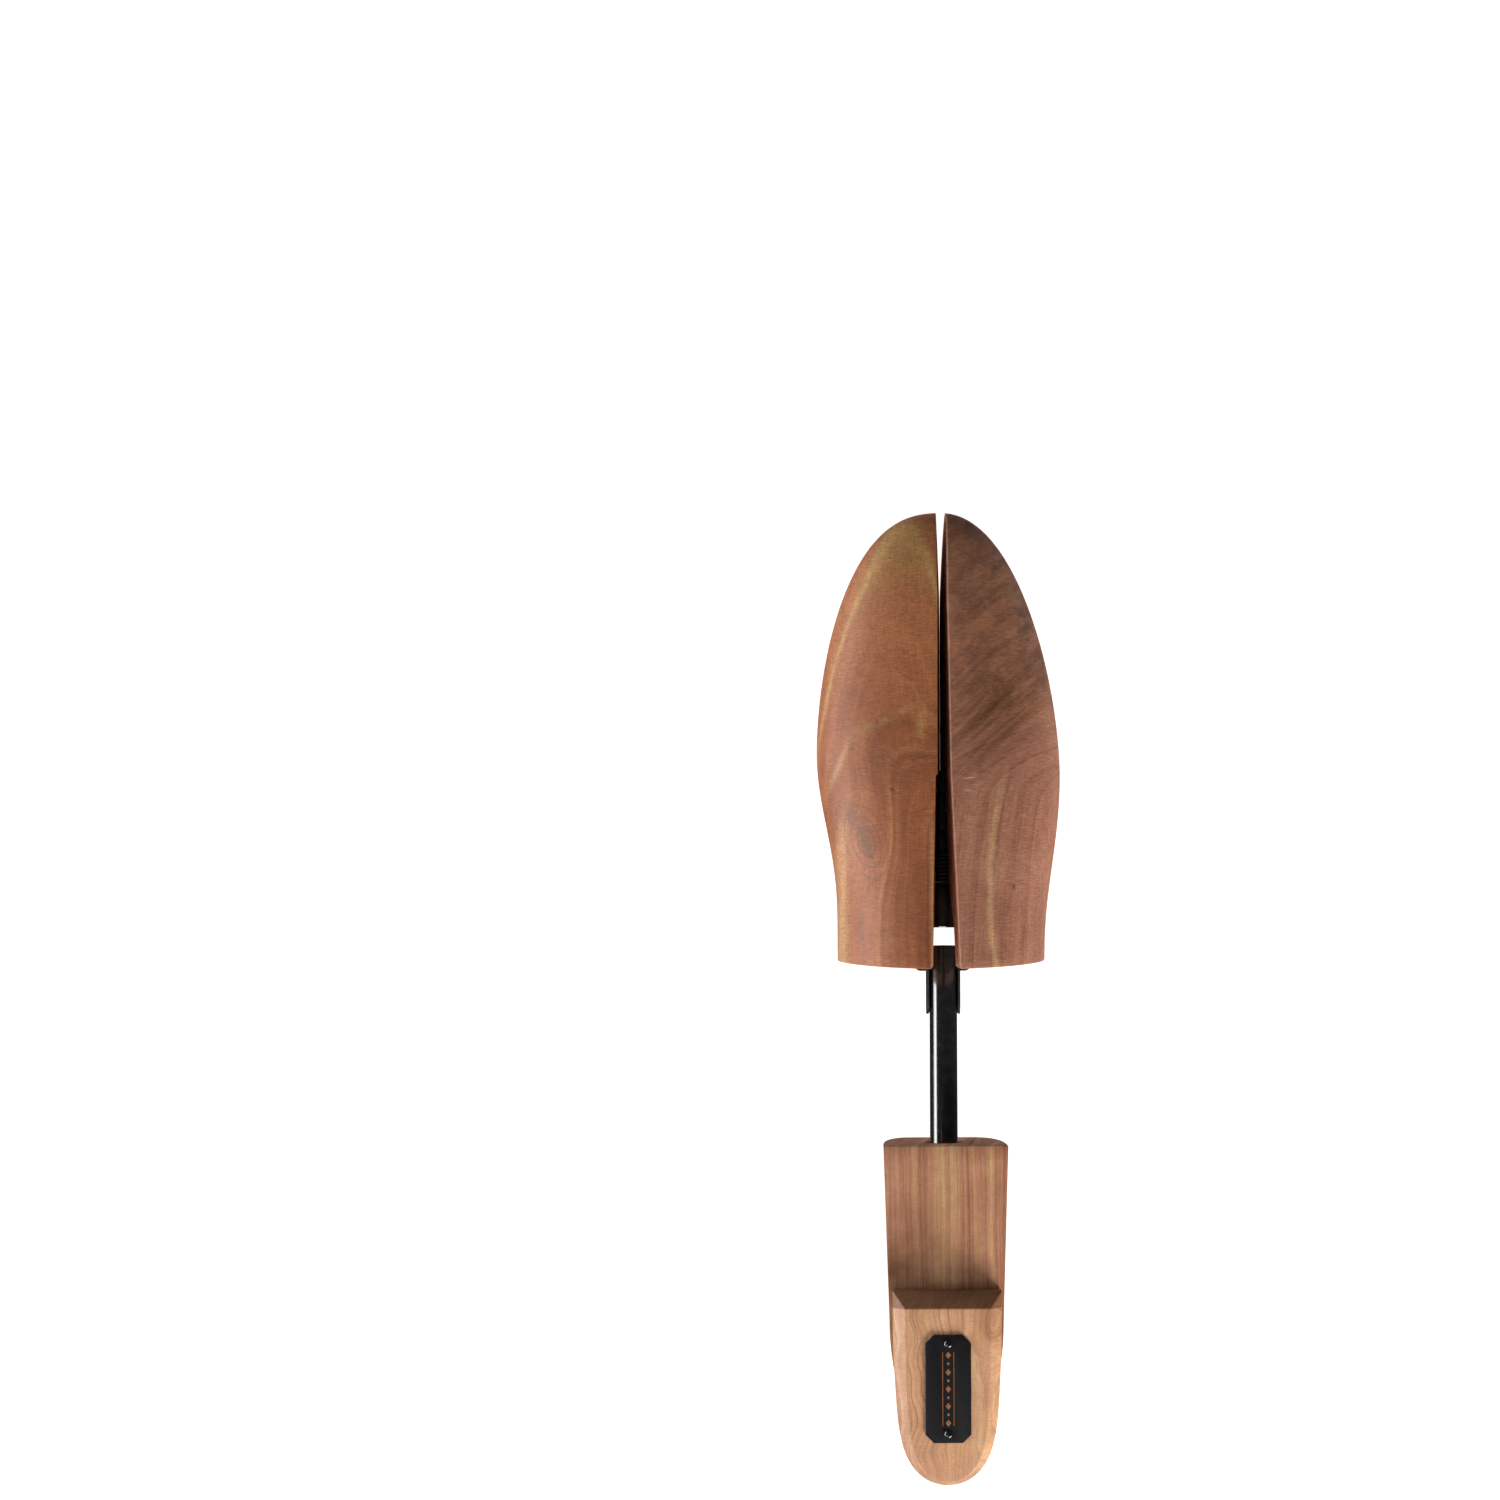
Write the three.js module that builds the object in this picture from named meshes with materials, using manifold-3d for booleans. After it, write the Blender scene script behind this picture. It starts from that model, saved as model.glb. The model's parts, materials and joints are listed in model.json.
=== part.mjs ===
// Cedar shoe tree for a right shoe: a split toe that rolls open on a steel hinge, a steel tube that
// swivels in the toe bracket, and a sprung heel that slides along the tube.
// Millimetres, +Z up, toe tip along +Y, every part resting on the plane z = 0.
// While the parts are shaped, y = 0 is the back of the toe and x = 0 is the line where it is split.

import * as THREE from 'three';
import { mergeVertices } from 'three/addons/utils/BufferGeometryUtils.js';
import Module from 'manifold-3d';

const kernel = await Module();
kernel.setup();

// ---------------------------------------------------------------- driving dimensions

const CLEARANCE = 0.3;            // between wood and what is let into it
const RUNNING_CLEARANCE = 0.08;   // radial, between a pin and its bore

const TOE = {
  length: 156.5,
  crownHeight: 48,                // top of the back edge
  crownFall: 0.16,                // how fast the top falls towards the tip, mm per mm
  tipHeight: 14,                  // where the rounded tip ends
  tipRoundingStart: 100,
  toeSpring: 4.5,                 // rise of the sole under the tip
  toeSpringStart: 112,
  widestLevel: 0.3,               // share of the height where the side is widest
  soleEdgeRound: 7,
  backBow: 1.6,                   // how far the back corners lie ahead of its middle
  domeFullness: 2.3,
};

// each half's outline: width at the back, width and place of the ball, and the curve of each stretch
const HALF = {
  left: {
    side: -1, backWidth: 36.3, ballWidth: 43.2, ballAt: 73, waistAt: 8, waistPower: 1.6,
    tipPower: 1.8, tipRoot: 2.5, sawStep: 0.6,
  },
  right: {
    side: 1, backWidth: 35.3, ballWidth: 41.1, ballAt: 66, waistAt: 0, waistPower: 1.1,
    tipPower: 1.7, tipRoot: 2.1, sawStep: 0,
  },
};

const SPLIT = {
  soleGap: 0.1,                   // between the halves where their sole edges almost meet
  openAngle: THREE.MathUtils.degToRad(3.5),
  reliefAt: 66,                   // the inner faces draw apart from here to the back
  relief: 1.9,                    // by this much each
  flareAt: 128,                   // and again from here to the tip
  flare: 0.75,
};

const HINGE = {
  axisHeight: 15.4,
  barrelRadius: 2.5,
  pinRadius: 1.25,
  pinStart: 13.3,
  pinEnd: 67,
  sheet: 1.2,
  leafStart: 40,
  leafLength: 26,
  leafReach: 20,
  knucklesPerLeaf: 2,
  knuckleGap: 0.3,
};

const TUBE = {
  radius: 4.75,
  wall: 0.9,
  axisHeight: 21,
  frontEnd: 6.9,
  pivotAt: 3.5,
  insertion: 45,                  // length inside the heel block at rest
};

const BRACKET = {
  rearEdge: -2,
  frontEdge: 27,
  halfWidth: 10,
  cornerRadius: 2.5,
  windowStart: 1.7,
  windowLength: 11.3,
  windowHalfWidth: 6.5,
  windowRadius: 1.8,
  cradleRear: -16.6,
  cradleHalfWidth: 5.8,
  cradleSheet: 0.8,
  cradleTop: 24,
  cradleCorner: 1.4,
};

const POCKET = {
  halfWidth: 8.2,
  soleLength: 15.5,
  ceiling: 33,
  rampStart: 13.6,
  rampStartHeight: 31,
  rampEnd: 31.7,
};

const HEEL = {
  front: -60.8,                   // y of the heel's front face
  travel: 28,
  blockLength: 104,
  blockHeight: 40,
  frontHalfWidth: 21.3,
  stepHalfWidth: 19.8,
  roundStart: 60,                 // where the plan starts to close towards the back
  roundHalfWidth: 19.4,
  rearLift: 6,                    // rise of the sole at the very back
  soleInset: 10.5,                // how much narrower the sole is than the top, on each side
  sideFullness: 2.5,
  boreRadius: 6.35,
  boreDepth: 75,
  glueLine: 0.2,
};

const HANDLE = {
  start: 48.8,                    // behind the heel's front face
  length: 66,
  thickness: 10,
  chamfer: 4,
  frontChamfer: 5.6,              // how far the front slope reaches back
  endChamfer: 1.4,                // the edge narrows to this at the very end
  frontHalfWidth: 18.6,
  waistStart: 22,                 // the plan starts to close here, behind the handle's front
  waistHalfWidth: 18.3,
  taper: 0.12,                    // share of the width lost by the time it reaches the rounded end
};

const PLATE = { start: 63.2, length: 36.6, halfWidth: 7.75, thickness: 1, corner: 2.8, nailInset: 3 };

const CROSS_PIN = { at: 38, radius: 2, bottom: 0.6, top: 31 };

const SPRING = { wire: 0.5, radius: 2.9, turns: 15, front: -30, plugLength: 5, followerLength: 3 };

const SPREAD_SPRING = { wire: 0.6, radius: 2.15, start: 29, end: 38.4, turns: 7, legReach: 9.5, legEnd: 52 };

const SCREW = { radius: 1.4, headRadius: 3, headHeight: 1.8, headBottom: 1, top: 24, reach: 13, inset: 6.5 };

// ---------------------------------------------------------------- materials

function material(color, roughness, metalness = 0) {
  return new THREE.MeshStandardMaterial({ color, roughness, metalness });
}

const cedarToe = material(0xb98468, 0.62);
const cedarBlock = material(0xb5836a, 0.62);
const cedarHandle = material(0xc89a7a, 0.62);
const blackSteel = material(0x17171a, 0.28, 0.6);
const springSteel = material(0x8d8f92, 0.35, 1);
const zincScrew = material(0xa9a7a0, 0.4, 1);
const blackPlate = material(0x131316, 0.5, 0.4);

// ---------------------------------------------------------------- small tools

function solidOf(geometry) {
  const bare = new THREE.BufferGeometry();
  bare.setAttribute('position', geometry.getAttribute('position').clone());
  if (geometry.index) bare.setIndex(geometry.index.clone());
  const merged = mergeVertices(bare, 1e-5);
  const mesh = new kernel.Mesh({
    numProp: 3,
    vertProperties: new Float32Array(merged.getAttribute('position').array),
    triVerts: new Uint32Array(merged.index.array),
  });
  mesh.merge();
  return new kernel.Manifold(mesh);
}

function geometryOf(solid) {
  const mesh = solid.getMesh();
  const geometry = new THREE.BufferGeometry();
  geometry.setAttribute('position', new THREE.BufferAttribute(new Float32Array(mesh.vertProperties), 3));
  geometry.setIndex(new THREE.BufferAttribute(new Uint32Array(mesh.triVerts), 1));
  const faceted = geometry.toNonIndexed();
  faceted.computeVertexNormals();
  return faceted;
}

const cut = (solid, ...cutters) => cutters.reduce((left, cutter) => left.subtract(cutter), solid);
const join = (...solids) => solids.reduce((whole, next) => whole.add(next));

function box([x0, x1], [y0, y1], [z0, z1]) {
  const geometry = new THREE.BoxGeometry(x1 - x0, y1 - y0, z1 - z0);
  geometry.translate((x0 + x1) / 2, (y0 + y1) / 2, (z0 + z1) / 2);
  return solidOf(geometry);
}

// a rod along Y, X or Z from one end to the other, centred on the two other coordinates
function rod(axis, radius, [start, end], [a, b], facets = 36) {
  const geometry = new THREE.CylinderGeometry(radius, radius, end - start, facets);
  const middle = (start + end) / 2;
  if (axis === 'x') {
    geometry.rotateZ(-Math.PI / 2);
    geometry.translate(middle, a, b);
  } else if (axis === 'y') {
    geometry.translate(a, middle, b);
  } else {
    geometry.rotateX(Math.PI / 2);
    geometry.translate(a, b, middle);
  }
  return solidOf(geometry);
}

// a flat shape drawn in plan, given thickness upwards from z
function plate(shape, z, thickness, curveSegments = 8) {
  const geometry = new THREE.ExtrudeGeometry(shape, { depth: thickness, bevelEnabled: false, curveSegments });
  geometry.translate(0, 0, z);
  return solidOf(geometry);
}

// an outline in the upright Y-Z plane, given width across X
function uprightPrism(points, halfWidth) {
  const shape = new THREE.Shape(points.map(([y, z]) => new THREE.Vector2(y, z)));
  const geometry = new THREE.ExtrudeGeometry(shape, { depth: 2 * halfWidth, bevelEnabled: false });
  geometry.rotateX(Math.PI / 2);
  geometry.rotateZ(Math.PI / 2);
  geometry.translate(-halfWidth, 0, 0);
  return solidOf(geometry);
}

function roundedRectangle(x0, x1, y0, y1, radius) {
  const shape = new THREE.Shape();
  shape.moveTo(x0 + radius, y0);
  shape.lineTo(x1 - radius, y0);
  shape.absarc(x1 - radius, y0 + radius, radius, -Math.PI / 2, 0);
  shape.lineTo(x1, y1 - radius);
  shape.absarc(x1 - radius, y1 - radius, radius, 0, Math.PI / 2);
  shape.lineTo(x0 + radius, y1);
  shape.absarc(x0 + radius, y1 - radius, radius, Math.PI / 2, Math.PI);
  shape.lineTo(x0, y0 + radius);
  shape.absarc(x0 + radius, y0 + radius, radius, Math.PI, 1.5 * Math.PI);
  return shape;
}

// a closed skin over rings of points, ending in a fan at the middle of each end ring or at a given pole
function loft(rings, startPole, endPole) {
  const count = rings[0].length;
  const positions = rings.flat();
  const faces = [];
  for (let ring = 0; ring + 1 < rings.length; ring += 1) {
    for (let i = 0; i < count; i += 1) {
      const next = (i + 1) % count;
      const a = ring * count + i;
      const b = ring * count + next;
      faces.push(a, b, b + count, a, b + count, a + count);
    }
  }
  const middle = (ring) => ring.reduce((sum, p) => sum.add(p), new THREE.Vector3()).divideScalar(count);
  positions.push(startPole ?? middle(rings[0]), endPole ?? middle(rings.at(-1)));
  const lastRing = (rings.length - 1) * count;
  for (let i = 0; i < count; i += 1) {
    const next = (i + 1) % count;
    faces.push(positions.length - 2, next, i);
    faces.push(positions.length - 1, lastRing + i, lastRing + next);
  }
  const geometry = new THREE.BufferGeometry().setFromPoints(positions);
  geometry.setIndex(faces);
  const solid = solidOf(geometry);
  if (solid.volume() > 0) return solid;
  for (let i = 0; i < faces.length; i += 3) [faces[i], faces[i + 1]] = [faces[i + 1], faces[i]];
  geometry.setIndex(faces);
  return solidOf(geometry);
}

// a round wire along a curve
function wire(curve, radius, steps, facets = 8) {
  const shape = new THREE.Shape();
  shape.absarc(0, 0, radius, 0, 2 * Math.PI);
  const geometry = new THREE.ExtrudeGeometry(shape, {
    steps, bevelEnabled: false, extrudePath: curve, curveSegments: facets,
  });
  return solidOf(geometry);
}

// ---------------------------------------------------------------- toe

const easeInOut = (t) => 0.5 - 0.5 * Math.cos(Math.PI * THREE.MathUtils.clamp(t, 0, 1));

function outlineWidth(half, y) {
  if (y <= half.ballAt) {
    const rise = easeInOut((y - half.waistAt) / (half.ballAt - half.waistAt)) ** half.waistPower;
    return half.backWidth + (half.ballWidth - half.backWidth) * rise;
  }
  const t = Math.min(1, (y - half.ballAt) / (TOE.length - half.ballAt));
  return half.ballWidth * (1 - t ** half.tipPower) ** (1 / half.tipRoot);
}

function tipClosing(y) {
  const t = THREE.MathUtils.clamp((y - TOE.tipRoundingStart) / (TOE.length - TOE.tipRoundingStart), 0, 1);
  return Math.sqrt(1 - t ** 3);
}

function crownLevel(y) {
  const full = TOE.crownHeight - TOE.crownFall * y;
  return TOE.tipHeight + (full - TOE.tipHeight) * tipClosing(y);
}

function soleLevel(y) {
  const t = Math.max(0, (y - TOE.toeSpringStart) / (TOE.length - TOE.toeSpringStart));
  return TOE.tipHeight - (TOE.tipHeight - TOE.toeSpring * t * t) * tipClosing(y);
}

// distance of a half's inner face from the split line
function innerFace(half, y, z) {
  const behind = Math.max(0, (SPLIT.reliefAt - y) / SPLIT.reliefAt);
  const ahead = Math.max(0, (y - SPLIT.flareAt) / (TOE.length - SPLIT.flareAt));
  const step = y < SPLIT.reliefAt ? half.sawStep : 0;
  const spread = step + (SPLIT.relief - step) * behind + SPLIT.flare * ahead;
  return SPLIT.soleGap / 2 + z * Math.tan(SPLIT.openAngle) + spread;
}

function toeSection(half, y) {
  const crown = crownLevel(y);
  const sole = soleLevel(y);
  const widest = sole + TOE.widestLevel * (crown - sole);
  const outside = Math.max(outlineWidth(half, y), innerFace(half, y, widest) + 0.05);
  const edge = TOE.soleEdgeRound * Math.min(1, outside / half.backWidth);
  const points = [[innerFace(half, y, sole), sole]];
  const soleOutside = Math.max(outside - edge, innerFace(half, y, sole) + 0.02);
  for (let i = 0; i <= 5; i += 1) {
    const a = (i / 5) * (Math.PI / 2);
    points.push([
      soleOutside + (outside - soleOutside) * Math.sin(a),
      widest - (widest - sole) * Math.cos(a),
    ]);
  }
  const power = 2 / TOE.domeFullness;
  const innerTop = Math.min(innerFace(half, y, crown) / outside, 1);
  const lastAngle = Math.acos(innerTop ** (1 / power));
  for (let i = 1; i <= 10; i += 1) {
    const a = (i / 10) * lastAngle;
    const z = widest + (crown - widest) * Math.sin(a) ** power;
    points.push([i === 10 ? innerFace(half, y, z) : outside * Math.cos(a) ** power, z]);
  }
  const bow = TOE.backBow * Math.max(0, 1 - y / 40);
  return points.map(([x, z]) => new THREE.Vector3(half.side * x, y + bow * (x / half.backWidth) ** 2, z));
}

function toeStations() {
  const stations = [];
  for (let y = 0; y < SPLIT.reliefAt - 1; y += 6) stations.push(y);
  stations.push(SPLIT.reliefAt - 0.1, SPLIT.reliefAt);
  const tipAngles = 22;
  for (let i = 1; i < tipAngles; i += 1) {
    const a = (i / tipAngles) * (Math.PI / 2);
    stations.push(SPLIT.reliefAt + (TOE.length - SPLIT.reliefAt) * Math.sin(a));
  }
  return stations;
}

function screwPlaces() {
  const { leafStart, leafLength } = HINGE;
  return [leafStart + SCREW.inset, leafStart + leafLength - SCREW.inset];
}

function hingeScrew(x, y, grow) {
  const shank = rod('z', SCREW.radius + grow, [SCREW.headBottom, SCREW.top + grow], [x, y], 20);
  const headBottom = grow ? -1 : SCREW.headBottom;
  const head = rod('z', SCREW.headRadius + grow, [headBottom, SCREW.headBottom + SCREW.headHeight + grow], [x, y], 28);
  if (grow) return join(shank, head);
  const slotHalf = 0.4;
  const slot = box([x - 4, x + 4], [y - slotHalf, y + slotHalf], [0, SCREW.headBottom + 0.8]);
  return cut(join(shank, head), slot);
}

function toeHalf(half) {
  const rings = toeStations().map((y) => toeSection(half, y));
  const tip = new THREE.Vector3(half.side * innerFace(half, TOE.length, TOE.tipHeight), TOE.length, TOE.tipHeight);
  const blank = loft(rings, undefined, tip);
  const { axisHeight, sheet, leafStart, leafLength, leafReach } = HINGE;
  const rollPlay = BRACKET.halfWidth * Math.sin(SPLIT.openAngle);
  const kerfReach = BRACKET.halfWidth + 0.7;
  const bracketKerf = box(
    [-kerfReach, kerfReach],
    [-5, BRACKET.frontEdge + 1],
    [axisHeight - sheet / 2 - CLEARANCE - rollPlay, axisHeight + sheet / 2 + CLEARANCE],
  );
  const leafKerf = box(
    [-leafReach - 1, leafReach + 1],
    [leafStart - CLEARANCE, leafStart + leafLength + CLEARANCE],
    [axisHeight - sheet / 2 - CLEARANCE, axisHeight + sheet / 2 + CLEARANCE],
  );
  const springKerf = box(
    [-SPREAD_SPRING.legReach - 2.5, SPREAD_SPRING.legReach + 2.5],
    [BRACKET.frontEdge, SPREAD_SPRING.legEnd + 1],
    [axisHeight - sheet / 2 - CLEARANCE, axisHeight + 3.4],
  );
  const barrelGroove = rod('y', HINGE.barrelRadius + 0.9, [12, HINGE.pinEnd + 1.5], [0, axisHeight], 40);
  const kerfTop = axisHeight + sheet / 2 + CLEARANCE;
  const kerfBottom = axisHeight - sheet / 2 - CLEARANCE;
  const pocket = uprightPrism([
    [-6, -2],
    [POCKET.soleLength, -2],
    [POCKET.soleLength, kerfBottom],
    [POCKET.rampEnd, kerfBottom],
    [POCKET.rampEnd, kerfTop],
    [POCKET.rampStart, POCKET.rampStartHeight],
    [-6, POCKET.ceiling],
  ], POCKET.halfWidth);
  const screwHoles = screwPlaces().map((y) => hingeScrew(half.side * SCREW.reach, y, 0.25));
  return cut(blank, bracketKerf, leafKerf, springKerf, barrelGroove, pocket, ...screwHoles);
}

function hingeLeaf(half) {
  const { axisHeight, sheet, leafStart, leafLength, leafReach, barrelRadius, knucklesPerLeaf, knuckleGap } = HINGE;
  const pitch = leafLength / (2 * knucklesPerLeaf);
  const first = half.side < 0 ? 0 : 1;
  const inside = barrelRadius + 0.5;
  const across = (x0, x1) => (half.side < 0 ? [-x1, -x0] : [x0, x1]);
  const shape = roundedRectangle(
    ...across(inside, leafReach), leafStart, leafStart + leafLength, 2,
  );
  let leaf = plate(shape, axisHeight - sheet / 2, sheet);
  for (let i = first; i < 2 * knucklesPerLeaf; i += 2) {
    const span = [leafStart + i * pitch + knuckleGap / 2, leafStart + (i + 1) * pitch - knuckleGap / 2];
    const barrel = rod('y', barrelRadius, span, [0, axisHeight]);
    const web = box(across(0.2, inside + 2.5), [span[0] + 0.2, span[1] - 0.2], [axisHeight - sheet / 2, axisHeight + sheet / 2]);
    leaf = join(leaf, barrel, web);
  }
  const pinBore = rod('y', HINGE.pinRadius + RUNNING_CLEARANCE, [leafStart - 1, leafStart + leafLength + 1], [0, axisHeight]);
  const holes = screwPlaces().map((y) => (
    rod('z', SCREW.radius + 0.25, [axisHeight - 2, axisHeight + 2], [half.side * SCREW.reach, y], 20)
  ));
  return cut(leaf, pinBore, ...holes);
}

function hingePin() {
  const { pinStart, pinEnd, pinRadius, axisHeight } = HINGE;
  const shank = rod('y', pinRadius, [pinStart, pinEnd], [0, axisHeight]);
  const head = rod('y', pinRadius + 0.7, [HINGE.leafStart + HINGE.leafLength + 0.2, pinEnd], [0, axisHeight]);
  return join(shank, head);
}

class SpreadSpringPath extends THREE.Curve {
  constructor() {
    super();
    const { start, end, turns, radius, legReach, legEnd } = SPREAD_SPRING;
    const top = HINGE.axisHeight + radius;
    const leg = HINGE.axisHeight + HINGE.sheet / 2 + CLEARANCE + SPREAD_SPRING.wire;
    const points = [
      new THREE.Vector3(-legReach, legEnd - 9, leg),
      new THREE.Vector3(-legReach, start + 5, leg),
      new THREE.Vector3(-legReach + 1.5, start + 1.6, leg + 0.1),
      new THREE.Vector3(-legReach + 5, start + 0.2, top - 0.3),
      new THREE.Vector3(-2.5, start - 0.05, top),
    ];
    const perTurn = 16;
    for (let i = 0; i <= turns * perTurn; i += 1) {
      const a = (i / perTurn) * 2 * Math.PI;
      const y = start + (end - start) * (i / (turns * perTurn));
      points.push(new THREE.Vector3(radius * Math.sin(a), y, HINGE.axisHeight + radius * Math.cos(a)));
    }
    points.push(
      new THREE.Vector3(2.5, end + 0.05, top),
      new THREE.Vector3(legReach - 5, end + 0.2, top - 0.3),
      new THREE.Vector3(legReach - 1.5, end + 1.6, leg + 0.1),
      new THREE.Vector3(legReach, end + 5, leg),
      new THREE.Vector3(legReach, legEnd, leg),
    );
    this.route = new THREE.CatmullRomCurve3(points, false, 'centripetal');
  }

  getPoint(t, target = new THREE.Vector3()) {
    return this.route.getPoint(t, target);
  }
}

// ---------------------------------------------------------------- bracket and tube

function tubeBracket() {
  const { axisHeight, sheet, barrelRadius, pinRadius } = HINGE;
  const low = axisHeight - sheet / 2;
  const outline = roundedRectangle(
    -BRACKET.halfWidth, BRACKET.halfWidth, BRACKET.rearEdge, BRACKET.frontEdge, BRACKET.cornerRadius,
  );
  const { windowStart, windowLength, windowHalfWidth, windowRadius } = BRACKET;
  outline.holes.push(roundedRectangle(
    -windowHalfWidth, windowHalfWidth, windowStart, windowStart + windowLength, windowRadius,
  ));
  const base = plate(outline, low, sheet);

  const { cradleRear, cradleHalfWidth, cradleSheet, cradleTop, cradleCorner } = BRACKET;
  const inside = cradleHalfWidth - cradleSheet;
  const wallOutline = [
    [cradleRear + cradleCorner, low],
    [windowStart + 0.2, low],
    [windowStart + 0.2, axisHeight + sheet],
    [TUBE.frontEnd, axisHeight + sheet + 2],
    [TUBE.frontEnd, cradleTop - 1.5],
    [TUBE.frontEnd - 1.5, cradleTop],
    [cradleRear + 2 * cradleCorner, cradleTop],
    [cradleRear, cradleTop - 2 * cradleCorner],
    [cradleRear, low + cradleCorner],
  ];
  const channel = cut(
    uprightPrism(wallOutline, cradleHalfWidth),
    box([-inside, inside], [cradleRear - 1, TUBE.frontEnd + 1], [low + sheet, cradleTop + 1]),
  );
  const floorCorner = new THREE.Shape([
    new THREE.Vector2(-inside, cradleRear - 1),
    new THREE.Vector2(inside, cradleRear - 1),
    new THREE.Vector2(inside - cradleCorner, cradleRear + cradleCorner),
    new THREE.Vector2(-inside + cradleCorner, cradleRear + cradleCorner),
  ]);
  const rearNotch = plate(floorCorner, low - 1, sheet + 2);

  const barrelSpan = [windowStart + windowLength + 0.6, BRACKET.frontEdge];
  const barrel = rod('y', barrelRadius, barrelSpan, [0, axisHeight]);
  const pinBore = rod('y', pinRadius + RUNNING_CLEARANCE, [barrelSpan[0] - 0.5, barrelSpan[1] + 1], [0, axisHeight]);
  const rivetHole = rod('x', 1.5 + RUNNING_CLEARANCE, [-9, 9], [TUBE.pivotAt, TUBE.axisHeight], 48);
  return cut(join(base, cut(channel, rearNotch), barrel), pinBore, rivetHole);
}

function pivotRivet() {
  const outer = BRACKET.cradleHalfWidth;
  const head = 1.1;
  const place = [TUBE.pivotAt, TUBE.axisHeight];
  return join(
    rod('x', 1.5, [-outer - 0.2, outer + 0.2], place, 48),
    rod('x', 2.7, [-outer - head, -outer - 0.05], place, 32),
    rod('x', 2.7, [outer + 0.05, outer + head], place, 32),
  );
}

const tubeRear = HEEL.front - TUBE.insertion;
const pinY = HEEL.front - CROSS_PIN.at;

function tube() {
  const { radius, wall, frontEnd, axisHeight } = TUBE;
  const skin = rod('y', radius, [tubeRear, frontEnd], [0, axisHeight], 56);
  const bore = rod('y', radius - wall, [tubeRear - 1, frontEnd + 1], [0, axisHeight], 48);
  const slotHalf = CROSS_PIN.radius + CLEARANCE;
  const slotEnds = [pinY, pinY + HEEL.travel];
  const span = [axisHeight - radius - 1, axisHeight + radius + 1];
  const slot = join(
    box([-slotHalf, slotHalf], slotEnds, span),
    rod('z', slotHalf, span, [0, slotEnds[0]], 24),
    rod('z', slotHalf, span, [0, slotEnds[1]], 24),
  );
  const rivetHole = rod('x', 1.5 + RUNNING_CLEARANCE, [-9, 9], [TUBE.pivotAt, axisHeight], 48);
  return cut(skin, bore, slot, rivetHole);
}

function tubePlug() {
  const radius = TUBE.radius - TUBE.wall - 0.1;
  const span = [SPRING.front + CLEARANCE, SPRING.front + CLEARANCE + SPRING.plugLength];
  return rod('y', radius, span, [0, TUBE.axisHeight], 40);
}

class CoilPath extends THREE.Curve {
  constructor(radius, start, end, turns, height) {
    super();
    Object.assign(this, { radius, start, end, turns, height });
  }

  getPoint(t, target = new THREE.Vector3()) {
    const a = t * this.turns * 2 * Math.PI;
    const y = this.start + (this.end - this.start) * t;
    return target.set(this.radius * Math.cos(a), y, this.height + this.radius * Math.sin(a));
  }
}

const followerFront = pinY + CROSS_PIN.radius + CLEARANCE + SPRING.followerLength;

function mainSpring() {
  const start = followerFront + SPRING.wire + 0.1;
  const end = SPRING.front - SPRING.wire + 0.1;
  return wire(new CoilPath(SPRING.radius, start, end, SPRING.turns, TUBE.axisHeight), SPRING.wire, SPRING.turns * 14, 4);
}

function springFollower() {
  const { followerLength } = SPRING;
  const radius = TUBE.radius - TUBE.wall - 0.35;
  const face = rod('y', radius, [followerFront - followerLength, followerFront - 0.2], [0, TUBE.axisHeight], 40);
  const spigot = rod('y', 1.9, [followerFront - 1, followerFront + 4], [0, TUBE.axisHeight], 28);
  return join(face, spigot);
}

// ---------------------------------------------------------------- heel

// half-width of the heel block, at a distance behind its front face
function blockHalfWidth(back) {
  if (back <= HEEL.roundStart) {
    const t = back / HANDLE.start;
    return HEEL.frontHalfWidth + (HEEL.stepHalfWidth - HEEL.frontHalfWidth) * t;
  }
  const t = (back - HEEL.roundStart) / (HEEL.blockLength - HEEL.roundStart);
  const start = blockHalfWidth(HEEL.roundStart);
  return start * Math.sqrt(Math.max(0, 1 - t * t));
}

function blockSection(back) {
  const width = Math.max(blockHalfWidth(back), 0.6);
  const inset = HEEL.soleInset * Math.min(1, width / HEEL.roundHalfWidth);
  const behind = Math.max(0, back - HEEL.roundStart) / (HEEL.blockLength - HEEL.roundStart);
  const sole = HEEL.rearLift * behind ** 3;
  const power = 2 / HEEL.sideFullness;
  const points = [];
  for (let i = 0; i <= 12; i += 1) {
    const a = (1 - i / 12) * (Math.PI / 2);
    const x = width - inset * (1 - Math.cos(a) ** power);
    points.push([i === 0 ? width - inset : x, HEEL.blockHeight - (HEEL.blockHeight - sole) * Math.sin(a) ** power]);
  }
  const mirrored = points.map(([x, z]) => [-x, z]).reverse();
  return [...points, ...mirrored].map(([x, z]) => new THREE.Vector3(x, HEEL.front - back, z));
}

function heelBlock() {
  const stations = [0, 12, 24, 36, 48, HEEL.roundStart];
  const turns = 14;
  for (let i = 1; i < turns; i += 1) {
    const a = (i / turns) * (Math.PI / 2);
    stations.push(HEEL.roundStart + (HEEL.blockLength - HEEL.roundStart) * Math.sin(a));
  }
  const rings = stations.map(blockSection);
  const blank = loft(rings);
  const bore = rod('y', HEEL.boreRadius, [HEEL.front - HEEL.boreDepth, HEEL.front + 1], [0, TUBE.axisHeight], 48);
  const pinHole = rod('z', CROSS_PIN.radius + 0.15, [-1, CROSS_PIN.top + 0.3], [0, pinY], 28);
  return cut(blank, bore, pinHole);
}

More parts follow.
